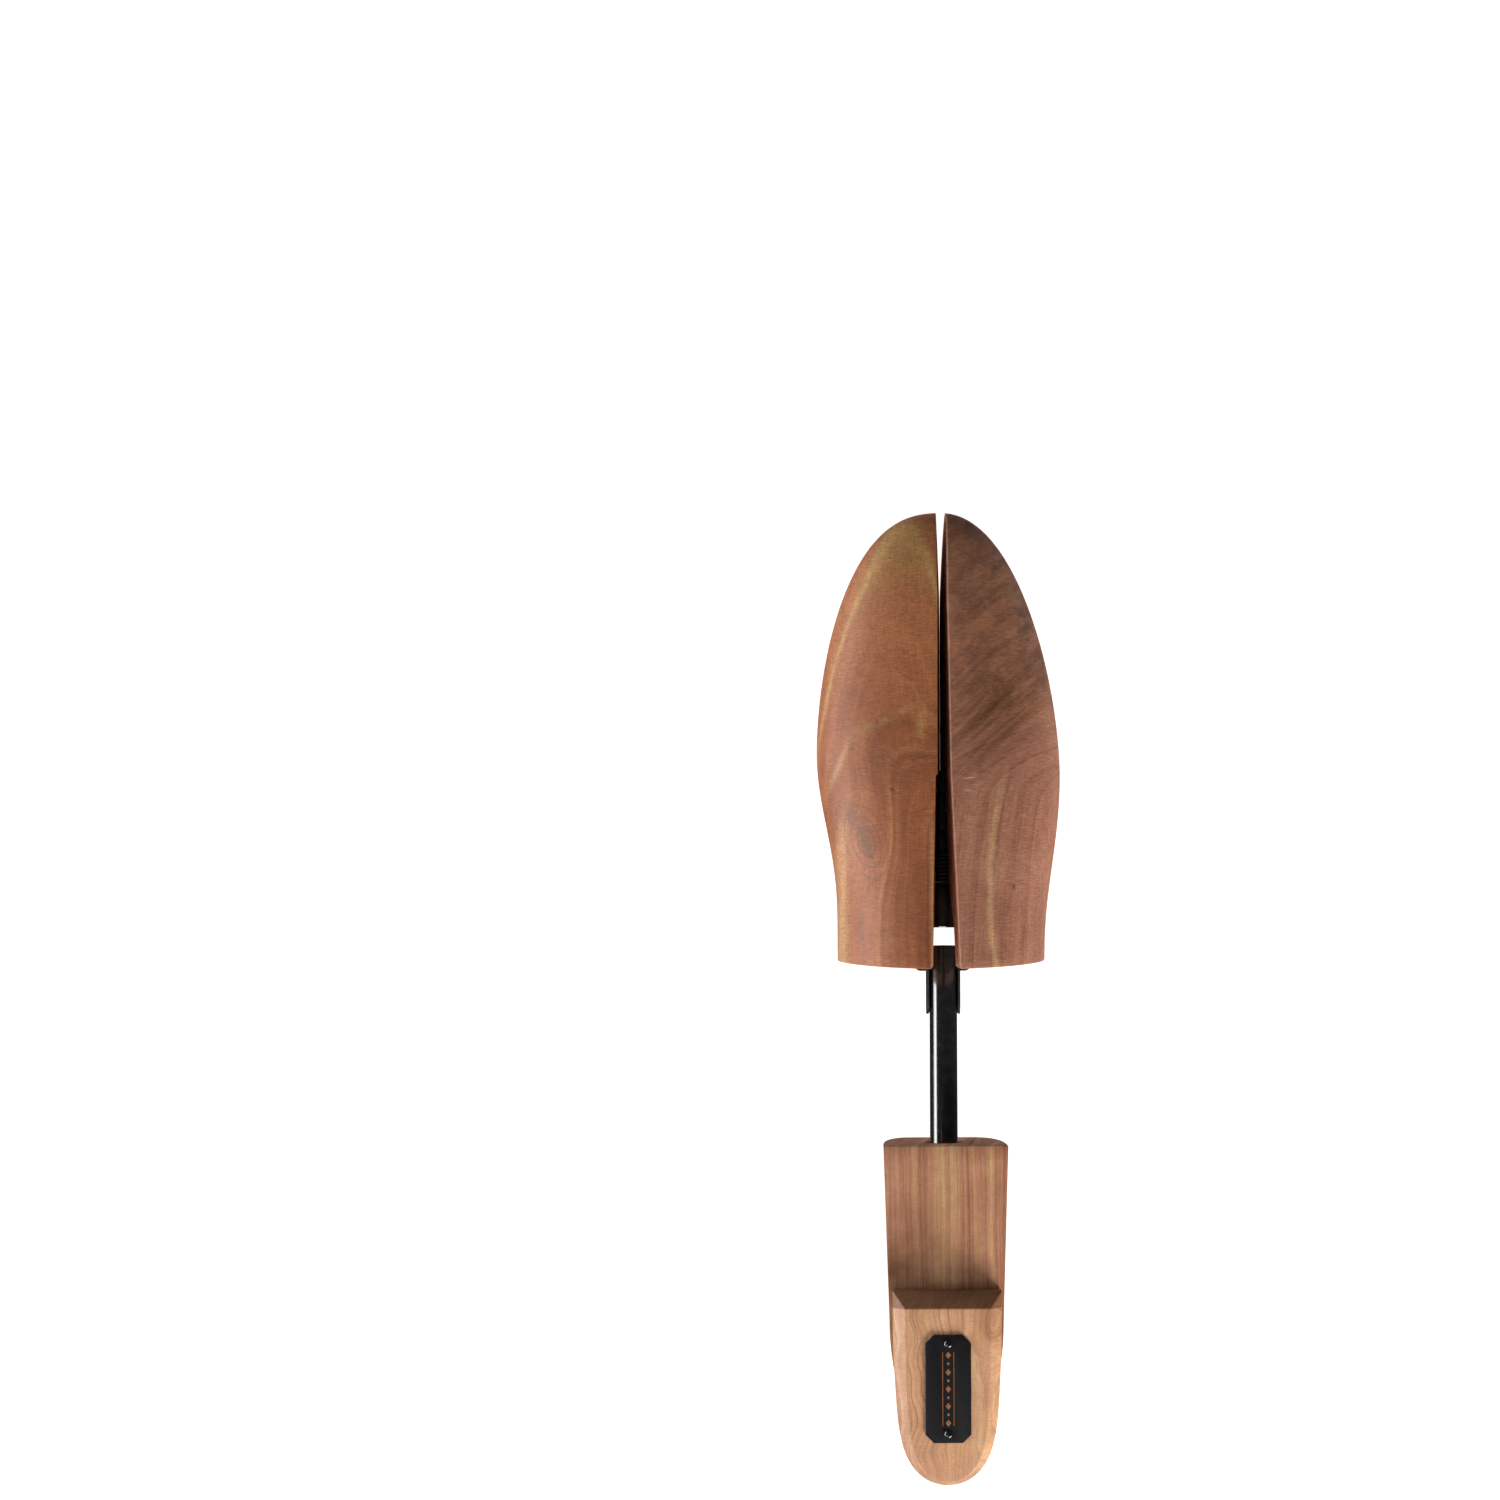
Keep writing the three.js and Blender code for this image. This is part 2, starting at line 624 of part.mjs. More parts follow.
// the handle's plan, with its side, front and rounded end each drawn in by a margin
function handleShape(margin, frontMargin, endMargin) {
  const { start, length, frontHalfWidth, waistStart, waistHalfWidth, taper } = HANDLE;
  const front = HEEL.front - start;
  const halfWidth = (back) => {
    if (back <= waistStart) return frontHalfWidth + (waistHalfWidth - frontHalfWidth) * (back / waistStart);
    const t = (back - waistStart) / (length - waistStart);
    return waistHalfWidth * (1 - taper * t) * Math.sqrt(1 - Math.min(1, t) ** 5);
  };
  const right = [];
  const steps = 24;
  const shrink = (frontHalfWidth - margin) / frontHalfWidth;
  const shorten = (length - endMargin - frontMargin) / length;
  for (let i = 0; i < steps; i += 1) {
    const back = length * Math.sin((i / steps) * (Math.PI / 2));
    right.push(new THREE.Vector2(halfWidth(back) * shrink, front - frontMargin - back * shorten));
  }
  const tip = new THREE.Vector2(0, front - length + endMargin);
  const left = right.map((p) => new THREE.Vector2(-p.x, p.y)).reverse();
  return [...right, tip, ...left];
}

function heelHandle() {
  const low = HEEL.blockHeight + HEEL.glueLine;
  const top = HEEL.blockHeight + HANDLE.thickness;
  const ring = (margin, frontMargin, endMargin, z) => (
    handleShape(margin, frontMargin, endMargin).map((p) => new THREE.Vector3(p.x, p.y, z))
  );
  const blank = loft([
    ring(0, 0, 0, low),
    ring(0, 0, 0, top - HANDLE.chamfer),
    ring(HANDLE.chamfer, HANDLE.frontChamfer, HANDLE.endChamfer, top),
  ]);
  const nailHoles = nailPlaces().map((y) => rod('z', 0.65 + 0.2, [top - 7.5, top + 1], [0, y], 16));
  return cut(blank, ...nailHoles);
}

function crossPin() {
  return rod('z', CROSS_PIN.radius, [CROSS_PIN.bottom, CROSS_PIN.top], [0, pinY], 28);
}

function nailPlaces() {
  const front = HEEL.front - PLATE.start;
  return [front - PLATE.nailInset, front - PLATE.length + PLATE.nailInset];
}

const plateLow = HEEL.blockHeight + HANDLE.thickness + 0.05;

function nameplate() {
  const { length, halfWidth, thickness, corner, start } = PLATE;
  const front = HEEL.front - start;
  const rear = front - length;
  const outline = new THREE.Shape([
    [halfWidth - corner, front],
    [-halfWidth + corner, front],
    [-halfWidth, front - corner],
    [-halfWidth, rear + corner],
    [-halfWidth + corner, rear],
    [halfWidth - corner, rear],
    [halfWidth, rear + corner],
    [halfWidth, front - corner],
  ].map(([x, y]) => new THREE.Vector2(x, y)));
  const holes = nailPlaces().map((y) => rod('z', 0.65 + 0.2, [plateLow - 1, plateLow + thickness + 1], [0, y], 16));
  return cut(plate(outline, plateLow, thickness), ...holes);
}

function plateNail(y) {
  const seat = plateLow + PLATE.thickness + 0.05;
  const profile = [new THREE.Vector2(0, seat + 0.8)];
  for (let i = 1; i <= 5; i += 1) {
    const a = (i / 5) * (Math.PI / 2);
    profile.push(new THREE.Vector2(1.4 * Math.sin(a), seat + 0.8 * Math.cos(a)));
  }
  profile.push(new THREE.Vector2(0.65, seat), new THREE.Vector2(0.65, seat - 6.5), new THREE.Vector2(0, seat - 8));
  const geometry = new THREE.LatheGeometry(profile.reverse(), 24);
  geometry.rotateX(Math.PI / 2);
  geometry.translate(0, y, 0);
  return solidOf(geometry);
}

// ---------------------------------------------------------------- assembly

function part(name, solid, finish) {
  const mesh = new THREE.Mesh(geometryOf(solid), finish);
  mesh.name = name;
  return mesh;
}

const tree = new THREE.Group();
tree.name = 'shoe_tree';

const bracketGroup = new THREE.Group();
bracketGroup.add(
  part('tube_bracket', tubeBracket(), blackSteel),
  part('pivot_rivet', pivotRivet(), blackSteel),
  part('hinge_pin', hingePin(), springSteel),
  part('spread_spring', wire(new SpreadSpringPath(), SPREAD_SPRING.wire, 190, 4), springSteel),
);

for (const [name, half] of Object.entries(HALF)) {
  const toeGroup = new THREE.Group();
  toeGroup.add(part(`toe_half_${name}`, toeHalf(half), cedarToe));
  toeGroup.add(part(`hinge_leaf_${name}`, hingeLeaf(half), blackSteel));
  screwPlaces().forEach((y, i) => {
    const screw = hingeScrew(half.side * SCREW.reach, y, 0);
    toeGroup.add(part(`leaf_screw_${name}_${i === 0 ? 'rear' : 'front'}`, screw, zincScrew));
  });
  tree.add(toeGroup);
}

const tubeGroup = new THREE.Group();
tubeGroup.add(
  part('tube', tube(), blackSteel),
  part('tube_plug', tubePlug(), springSteel),
  part('main_spring', mainSpring(), springSteel),
);

const heelGroup = new THREE.Group();
heelGroup.add(
  part('heel_block', heelBlock(), cedarBlock),
  part('heel_handle', heelHandle(), cedarHandle),
  part('cross_pin', crossPin(), springSteel),
  part('spring_follower', springFollower(), springSteel),
  part('nameplate', nameplate(), blackPlate),
  part('nameplate_nail_front', plateNail(nailPlaces()[0]), blackPlate),
  part('nameplate_nail_rear', plateNail(nailPlaces()[1]), blackPlate),
);

tree.add(bracketGroup, tubeGroup, heelGroup);

// the origin is under the middle of the whole tree
const extent = new THREE.Box3().setFromObject(tree);
const middle = extent.getCenter(new THREE.Vector3());
tree.position.set(-middle.x, -middle.y, -extent.min.z);

export default tree;
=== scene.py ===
import json
import math

import bmesh
import bpy
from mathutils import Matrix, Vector


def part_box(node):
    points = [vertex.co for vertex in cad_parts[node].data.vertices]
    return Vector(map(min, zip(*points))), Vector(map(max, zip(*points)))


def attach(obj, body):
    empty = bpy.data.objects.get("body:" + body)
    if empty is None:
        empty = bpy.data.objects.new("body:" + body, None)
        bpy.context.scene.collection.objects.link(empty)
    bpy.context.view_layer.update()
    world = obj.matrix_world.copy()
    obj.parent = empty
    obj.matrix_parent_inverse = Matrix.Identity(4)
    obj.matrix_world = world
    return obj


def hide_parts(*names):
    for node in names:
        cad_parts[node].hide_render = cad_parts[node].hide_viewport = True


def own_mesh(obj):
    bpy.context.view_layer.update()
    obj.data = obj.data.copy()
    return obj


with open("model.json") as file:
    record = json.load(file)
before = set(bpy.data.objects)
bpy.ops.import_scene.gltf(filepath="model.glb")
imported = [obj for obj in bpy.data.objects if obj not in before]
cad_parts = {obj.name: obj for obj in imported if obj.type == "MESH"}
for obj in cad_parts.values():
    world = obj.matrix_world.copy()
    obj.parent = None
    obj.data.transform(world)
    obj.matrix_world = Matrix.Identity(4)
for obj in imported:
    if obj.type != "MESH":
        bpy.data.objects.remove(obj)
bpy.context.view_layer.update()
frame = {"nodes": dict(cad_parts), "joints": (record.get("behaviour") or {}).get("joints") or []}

# ------------------------------------------------------------------ where things are, in mm

MM = 0.001
JOINTS = {joint["name"]: joint for joint in frame["joints"]}
PIVOT_AHEAD = 3.5                      # the tube's pivot lies this far ahead of the toe's back
SPLIT_X = JOINTS["toe_left_roll"]["pos_m"][0] / MM
HINGE_Z = JOINTS["toe_left_roll"]["pos_m"][2] / MM
TOE_BACK = JOINTS["tube_lift"]["pos_m"][1] / MM - PIVOT_AHEAD
TUBE_Z = JOINTS["tube_lift"]["pos_m"][2] / MM


def row(x, y, z):
    """A point given from the split line and the toe's back, in mm, as the frame's metres."""
    return Vector(((x + SPLIT_X) * MM, (y + TOE_BACK) * MM, z * MM))


def cad_mm(node):
    """A CAD node's box, in mm from the split line and the toe's back."""
    low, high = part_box(node)
    shift = Vector((SPLIT_X, TOE_BACK, 0))
    return low / MM - shift, high / MM - shift


# ------------------------------------------------------------------ mesh tools

def mesh_object(name, points, faces, sharp=32):
    """A mesh from points in mm and faces, shaded smooth up to the sharp angle."""
    mesh = bpy.data.meshes.new(name)
    mesh.from_pydata([row(*p) for p in points], [], faces)
    obj = bpy.data.objects.new(name, mesh)
    bpy.context.scene.collection.objects.link(obj)
    tidy_mesh(obj, sharp)
    return obj


def tidy_mesh(obj, sharp=32):
    work = bmesh.new()
    work.from_mesh(obj.data)
    bmesh.ops.remove_doubles(work, verts=work.verts, dist=1e-6)
    bmesh.ops.dissolve_degenerate(work, edges=work.edges, dist=1e-7)
    bmesh.ops.recalc_face_normals(work, faces=work.faces)
    for face in work.faces:
        face.smooth = True
    for edge in work.edges:
        edge.smooth = len(edge.link_faces) == 2 and edge.calc_face_angle(0) < math.radians(sharp)
    work.to_mesh(obj.data)
    work.free()


def loft(name, rings, start_pole=None, end_pole=None, sharp=32):
    """A closed skin over rings of points, with a fan at each end."""
    count = len(rings[0])
    points = [p for ring in rings for p in ring]
    faces = []
    for r in range(len(rings) - 1):
        for i in range(count):
            a, b = r * count + i, r * count + (i + 1) % count
            faces.append((a, b, b + count, a + count))

    def middle(ring):
        return tuple(sum(p[k] for p in ring) / count for k in range(3))

    points += [start_pole or middle(rings[0]), end_pole or middle(rings[-1])]
    last = (len(rings) - 1) * count
    for i in range(count):
        following = (i + 1) % count
        faces.append((len(points) - 2, following, i))
        faces.append((len(points) - 1, last + i, last + following))
    return mesh_object(name, points, faces, sharp)


def prism(name, outline, low, high, axis="z"):
    """A flat outline of (a, b) points given thickness along an axis: z from x-y, or x from y-z."""
    def at(a, b, t):
        return (a, b, t) if axis == "z" else (t, a, b)

    count = len(outline)
    points = [at(a, b, low) for a, b in outline] + [at(a, b, high) for a, b in outline]
    faces = [tuple(range(count))[::-1], tuple(range(count, 2 * count))]
    faces += [(i, (i + 1) % count, (i + 1) % count + count, i + count) for i in range(count)]
    return mesh_object(name, points, faces)


def box(name, x, y, z):
    return prism(name, [(x[0], y[0]), (x[1], y[0]), (x[1], y[1]), (x[0], y[1])], *z)


def turned(name, profile, centre, axis="y", facets=96, sharp=32):
    """A closed ring of (radius, along) points turned about an axis through centre."""
    def at(radius, along, angle):
        u, v = radius * math.cos(angle), radius * math.sin(angle)
        x, y, z = centre
        return {"x": (along, y + u, z + v), "y": (x + u, along, z + v), "z": (x + u, y + v, along)}[axis]

    count = len(profile)
    points = [at(r, t, 2 * math.pi * k / facets) for k in range(facets) for r, t in profile]
    faces = []
    for k in range(facets):
        here, there = k * count, ((k + 1) % facets) * count
        for i in range(count):
            j = (i + 1) % count
            faces.append((here + i, here + j, there + j, there + i))
    return mesh_object(name, points, faces, sharp)


def solid_rod(name, radius, span, centre, axis="y", edge=0.0, facets=64):
    """A round bar with softened ends."""
    low, high = span
    edge = max(edge, 0.001)
    nick = 0.3 * edge
    profile = [(0, low), (radius - edge, low), (radius - nick, low + nick), (radius, low + edge),
               (radius, high - edge), (radius - nick, high - nick), (radius - edge, high), (0, high)]
    return turned(name, profile, centre, axis, facets)


def wire(name, path, radius, facets=14):
    """A round wire along a list of points."""
    path = [Vector(p) for p in path]
    side = Vector((0, 0, 1))
    rings = []
    for i, p in enumerate(path):
        ahead = (path[min(i + 1, len(path) - 1)] - path[max(i - 1, 0)]).normalized()
        side = (side - ahead * side.dot(ahead)).normalized()
        other = ahead.cross(side)
        angles = [2 * math.pi * k / facets for k in range(facets)]
        rings.append([tuple(p + radius * (math.cos(a) * side + math.sin(a) * other)) for a in angles])
    return loft(name, rings)


def cut_corners(path, times=3):
    """The path with its corners rounded."""
    for _ in range(times):
        inner = [[a + (b - a) * share for a, b in zip(p, q)]
                 for p, q in zip(path, path[1:]) for share in (0.25, 0.75)]
        path = [path[0], *inner, path[-1]]
    return path


def apply_modifiers(obj):
    bpy.context.view_layer.update()
    shaped = bpy.data.meshes.new_from_object(obj.evaluated_get(bpy.context.evaluated_depsgraph_get()))
    obj.modifiers.clear()
    obj.data = shaped


def combine(obj, others, operation="DIFFERENCE", sharp=32):
    """Cuts the others from obj, or joins them to it."""
    for other in others:
        modifier = obj.modifiers.new("combine", "BOOLEAN")
        modifier.solver = "EXACT"
        modifier.operation = operation
        modifier.object = other
    apply_modifiers(obj)
    for other in others:
        bpy.data.objects.remove(other)
    tidy_mesh(obj, sharp)
    return obj


def soften(obj, width, segments=2, angle=28):
    """Breaks the sharp edges of a piece."""
    modifier = obj.modifiers.new("soften", "BEVEL")
    modifier.width = width * MM
    modifier.segments = segments
    modifier.limit_method = "ANGLE"
    modifier.angle_limit = math.radians(angle)
    modifier.use_clamp_overlap = True
    apply_modifiers(obj)
    tidy_mesh(obj)
    return obj


# ------------------------------------------------------------------ shader tools

class Shader:
    """A material's node tree, written as expressions."""

    def __init__(self, name):
        self.material = bpy.data.materials.new(name)
        self.material.use_nodes = True
        self.tree = self.material.node_tree
        self.surface = self.tree.nodes["Principled BSDF"]

    def node(self, kind, inputs, output=0, **settings):
        made = self.tree.nodes.new(kind)
        for key, value in settings.items():
            setattr(made, key, value)
        for key, value in inputs.items():
            if isinstance(value, bpy.types.NodeSocket):
                self.tree.links.new(value, made.inputs[key])
            elif value is not None:
                made.inputs[key].default_value = value
        return made.outputs[output]

    def math(self, operation, a, b=None, c=None, clamp=False):
        return self.node("ShaderNodeMath", {0: a, 1: b, 2: c}, operation=operation, use_clamp=clamp)

    def add(self, *terms):
        total = terms[0]
        for term in terms[1:]:
            total = self.math("ADD", total, term)
        return total

    def times(self, a, b):
        return self.math("MULTIPLY", a, b)

    def blend(self, factor, a, b):
        """A number between two others."""
        return self.node("ShaderNodeMix", {0: factor, 2: a, 3: b}, 0, data_type="FLOAT")

    def colours(self, factor, a, b, mode="MIX"):
        return self.node("ShaderNodeMix", {0: factor, 6: a, 7: b}, 2, data_type="RGBA", blend_type=mode)

    def step(self, value, low, high, smooth=True):
        """0 below low, 1 above high."""
        kind = "SMOOTHSTEP" if smooth else "LINEAR"
        return self.node("ShaderNodeMapRange", {0: value, 1: low, 2: high}, interpolation_type=kind)

    def ramp(self, factor, stops):
        made = self.tree.nodes.new("ShaderNodeValToRGB")
        while len(made.color_ramp.elements) < len(stops):
            made.color_ramp.elements.new(0.5)
        for element, (position, colour) in zip(made.color_ramp.elements, stops):
            element.position = position
            element.color = (*colour, 1)
        self.tree.links.new(factor, made.inputs[0])
        return made.outputs[0]

    def vector(self, x, y, z):
        return self.node("ShaderNodeCombineXYZ", {0: x, 1: y, 2: z})

    def noise(self, vector, scale=1.0, detail=3.0, rough=0.5):
        inputs = {"Vector": vector, "Scale": scale, "Detail": detail, "Roughness": rough}
        return self.node("ShaderNodeTexNoise", inputs, "Fac")

    def place(self):
        """The point on the piece, in mm from the split line and the toe's back."""
        metres = self.node("ShaderNodeTexCoord", {}, "Object")
        scaled = self.node("ShaderNodeVectorMath", {0: metres, 3: 1 / MM}, operation="SCALE")
        shift = (-SPLIT_X, -TOE_BACK, 0)
        place = self.node("ShaderNodeVectorMath", {0: scaled, 1: shift}, operation="ADD")
        split = self.tree.nodes.new("ShaderNodeSeparateXYZ")
        self.tree.links.new(place, split.inputs[0])
        return place, split.outputs[0], split.outputs[1], split.outputs[2]

    def spot(self, x, y, centre, size, turn=0.0):
        """1 at a centre, falling to 0 around it: a soft ellipse in plan."""
        dx = self.math("SUBTRACT", x, centre[0])
        dy = self.math("SUBTRACT", y, centre[1])
        c, s = math.cos(math.radians(turn)), math.sin(math.radians(turn))
        u = self.times(self.add(self.times(dx, c), self.times(dy, s)), 1 / size[0])
        v = self.times(self.add(self.times(dy, c), self.times(dx, -s)), 1 / size[1])
        squared = self.add(self.times(u, u), self.times(v, v))
        return self.math("EXPONENT", self.times(squared, -1.0))

    def end_grain(self):
        """1 where the surface cuts across the grain, which runs along Y."""
        facing = self.tree.nodes.new("ShaderNodeSeparateXYZ")
        self.tree.links.new(self.node("ShaderNodeTexCoord", {}, "Normal"), facing.inputs[0])
        return self.step(self.math("ABSOLUTE", facing.outputs[1]), 0.34, 0.68)

    def bump(self, height, distance, strength=1.0, normal=None):
        inputs = {"Height": height, "Distance": distance * MM, "Strength": strength, "Normal": normal}
        return self.node("ShaderNodeBump", inputs)

    def finish(self, colour=None, roughness=None, normal=None, **fixed):
        for key, value in (("Base Color", colour), ("Roughness", roughness), ("Normal", normal)):
            if isinstance(value, bpy.types.NodeSocket):
                self.tree.links.new(value, self.surface.inputs[key])
            elif value is not None:
                self.surface.inputs[key].default_value = value
        for key, value in fixed.items():
            self.surface.inputs[key.replace("_", " ")].default_value = value
        return self.material


# ------------------------------------------------------------------ cedar

LATE = (0.20, 0.070, 0.035)
SMOKE = (0.085, 0.045, 0.028)
SAP = (0.66, 0.40, 0.14)
# painted highlight colour, for the rounded inner top edge of the left half
EDGE_HIGHLIGHT = (0.66, 0.37, 0.19)


def cedar(name, grain, tones, pitch=1.7, line=0.4, chatter=1.0, band=0.17, spread=0.24):
    """Red cedar. grain gives the growth rings' coordinate and the fibres', in mm, and (mask, colour) patches."""
    n = Shader(name)
    p, x, y, z = n.place()
    f, g, patches = grain(n, p, x, y, z)
    drift = n.node("ShaderNodeVectorMath", {0: p, 1: (0.06, 0.014, 0.06)}, operation="MULTIPLY")
    sway = n.times(n.math("SUBTRACT", n.noise(drift, 1, 2), 0.5), 3.0)
    f, g = n.add(f, sway), n.add(g, sway)

    # growth rings: each one darkens slowly and ends in a thin hard line, and no two are alike
    uneven = n.noise(n.vector(n.times(f, 0.11), 3.3, 0.0), 1, 2)
    phase = n.add(n.times(f, 1 / pitch), n.times(uneven, 5.0))
    within = n.math("FRACT", phase)
    late = n.times(n.math("POWER", within, 5.0), n.step(within, 1.0, 0.9))
    number = n.math("FLOOR", phase)
    year = n.noise(n.vector(n.times(number, 0.77), 7.1, 0.0), 1, 0)
    strong = n.step(n.noise(n.vector(n.times(number, 3.17), n.times(y, 0.02), 0.0), 1, 1), 0.4, 0.66)
    broad = n.noise(n.vector(n.times(f, band), n.times(y, 0.006), n.times(z, 0.01)), 1, 3, 0.6)
    blotch = n.noise(p, 0.035, 3, 0.55)
    tone = n.add(n.times(broad, 0.7), n.times(year, 0.3), n.times(blotch, 0.45), -0.22)
    colour = n.ramp(n.step(tone, 0.52 - spread, 0.52 + spread, False), tones)

    # fibres run with the rings, and fine marks from shaping run across them
    fibre = n.noise(n.vector(n.times(g, 2.3), n.times(y, 0.05), n.times(z, 0.3)), 1, 4, 0.7)
    hair = n.noise(n.vector(n.times(g, 7.0), n.times(y, 0.22), n.times(z, 0.8)), 1, 2, 0.6)
    across = n.noise(n.vector(n.times(x, 0.42), n.times(y, 2.4), n.times(z, 0.42)), 1, 3, 0.75)
    mottle = n.noise(p, 0.13, 5, 0.68)
    shares = ((fibre, 0.62), (hair, 0.75), (across, chatter), (mottle, 0.5))
    shade = n.add(*(n.times(part, share) for part, share in shares), 1 - 0.5 * sum(share for _, share in shares))
    colour = n.colours(n.times(n.times(late, strong), line), colour, (*LATE, 1))
    for mask, tint in patches:
        colour = n.colours(mask, colour, (*tint, 1))
    shade = n.times(shade, n.blend(n.end_grain(), 1.0, 0.74))
    grey = n.node("ShaderNodeCombineColor", {0: shade, 1: shade, 2: shade})
    colour = n.colours(1.0, colour, grey, "MULTIPLY")
    pores = n.noise(n.vector(n.times(x, 5.0), n.times(y, 0.9), n.times(z, 5.0)), 1, 2, 0.7)
    colour = n.colours(n.times(n.step(pores, 0.60, 0.76), 0.3), colour, (*LATE, 1))
    rough = n.add(0.48, n.times(fibre, 0.18), n.times(late, -0.08))
    relief = n.add(n.times(fibre, 0.4), n.times(hair, 0.4), n.times(across, 0.7 * chatter),
                   n.times(late, 0.4), n.times(pores, -0.4))
    return n.finish(colour, rough, n.bump(relief, 0.05, 0.8), Specular_IOR_Level=0.3)


TOE_TONES = [(0.0, (0.27, 0.082, 0.032)), (0.35, (0.37, 0.117, 0.045)), (0.6, (0.44, 0.145, 0.056)),
             (0.85, (0.51, 0.190, 0.075)), (1.0, (0.60, 0.260, 0.105))]
RIGHT_TONES = [(0.0, (0.33, 0.135, 0.082)), (0.35, (0.44, 0.185, 0.115)), (0.62, (0.50, 0.222, 0.142)),
               (0.85, (0.55, 0.262, 0.168)), (1.0, (0.62, 0.32, 0.195))]


def grain_toe_left(n, p, x, y, z):
    """Rings meet the top as nested arches towards the tip, and run straight at the back, round a knot."""
    aside = n.add(x, 17.0)
    deep = n.add(n.times(y, 0.2), n.times(z, -0.35), 9.6)
    arches = n.math("SQRT", n.add(n.times(aside, aside), n.times(deep, deep), 3.0))
    f = n.blend(n.step(y, 42.0, 92.0), n.add(n.times(x, -1.0), n.times(z, 0.12), -18.0), arches)
    near = n.math("MAXIMUM", n.add(y, -122.0), 0.0)
    far = n.math("MAXIMUM", n.add(n.times(y, -1.0), 122.0), 0.0)
    sap_ring = n.add(arches, n.times(n.times(near, near), -0.0045), n.times(far, -0.0425),
                     n.times(n.math("SUBTRACT", n.noise(p, 0.03, 1), 0.5), 2.0))
    knot = n.spot(x, y, (-27.0, 44.0), (4.0, 9.0), 16)
    swell = n.spot(x, y, (-25.0, 50.0), (11.0, 20.0), 16)
    around = n.add(n.times(knot, -6.0), n.times(swell, 7.0))
    f = n.add(f, around)
    g = n.add(n.times(x, -1.0), around, n.times(n.step(y, 60.0, 120.0), n.times(x, 0.25)))
    ahead = n.step(y, 60.0, 96.0)
    arch = n.spot(sap_ring, 0.0, (30.2, 0.0), (0.75, 1.0))
    glow = n.spot(sap_ring, 0.0, (28.6, 0.0), (2.0, 1.0))
    tip = n.step(y, 122.0, 142.0)
    olive = n.spot(x, y, (-12.0, 150.0), (13.0, 9.0))
    heart = n.spot(x, y, (-27.0, 43.0), (2.4, 6.4), 16)
    bruise = n.spot(x, y, (-31.6, 52.0), (2.2, 4.0), 20)
    whorl = n.spot(x, y, (-26.6, 43.0), (5.8, 11.0), 16)
    rings = n.times(n.step(n.math("FRACT", n.times(whorl, 3.6)), 0.66, 0.96), n.step(whorl, 0.14, 0.34))
    dusk = n.spot(x, y, (-15.0, 70.0), (11.0, 7.0), 25)
    cloud = n.noise(p, 0.2, 4, 0.7)
    flame = n.spot(x, y, (-7.4, 84.0), (1.7, 7.0), -6)
    bough = n.spot(x, y, (-20.0, 85.0), (12.0, 1.6), 24)
    twig = n.spot(x, y, (-35.4, 70.0), (1.0, 8.5), -22)
    # painted light: a bright band along the outer left flank, where light from the left falls
    side = n.spot(x, 0.0, (-34.8, 0.0), (2.1, 1.0))
    back = n.step(y, 62.0, 36.0)
    # painted highlight along the rounded inner top edge at the back
    rim = n.spot(x, 0.0, (-4.4, 0.0), (0.8, 1.0))
    speck = n.spot(x, y, (-17.4, 60.6), (0.9, 0.45), -20)
    return f, g, [
        (n.times(n.step(y, 84.0, 124.0), 0.5), (0.64, 0.25, 0.105)),
        (n.times(n.times(glow, tip), 0.45), (0.52, 0.31, 0.10)),
        (n.times(n.times(arch, ahead), 0.66), SAP),
        (n.times(n.times(olive, n.step(cloud, 0.3, 0.7)), 0.35), (0.28, 0.165, 0.06)),
        (n.times(n.step(cloud, 0.35, 0.65), n.times(bough, 0.55)), SAP),
        (n.times(n.step(cloud, 0.3, 0.6), n.times(flame, 0.6)), SAP),
        (n.times(twig, 0.65), (0.70, 0.38, 0.17)),
        # the painted light on the left flank at the back
        (n.times(n.times(side, back), 0.62), (0.78, 0.46, 0.24)),
        # the painted highlight on the inner top edge
        (n.times(n.times(rim, back), 0.5), EDGE_HIGHLIGHT),
        (n.times(rings, 0.6), (0.20, 0.085, 0.045)),
        (n.times(heart, 0.75), (0.17, 0.085, 0.045)),
        (n.times(bruise, 0.5), (0.23, 0.10, 0.06)),
        (n.times(n.times(dusk, n.step(cloud, 0.40, 0.64)), 0.6), (0.19, 0.08, 0.04)),
        (n.times(speck, 0.8), SMOKE),
    ]


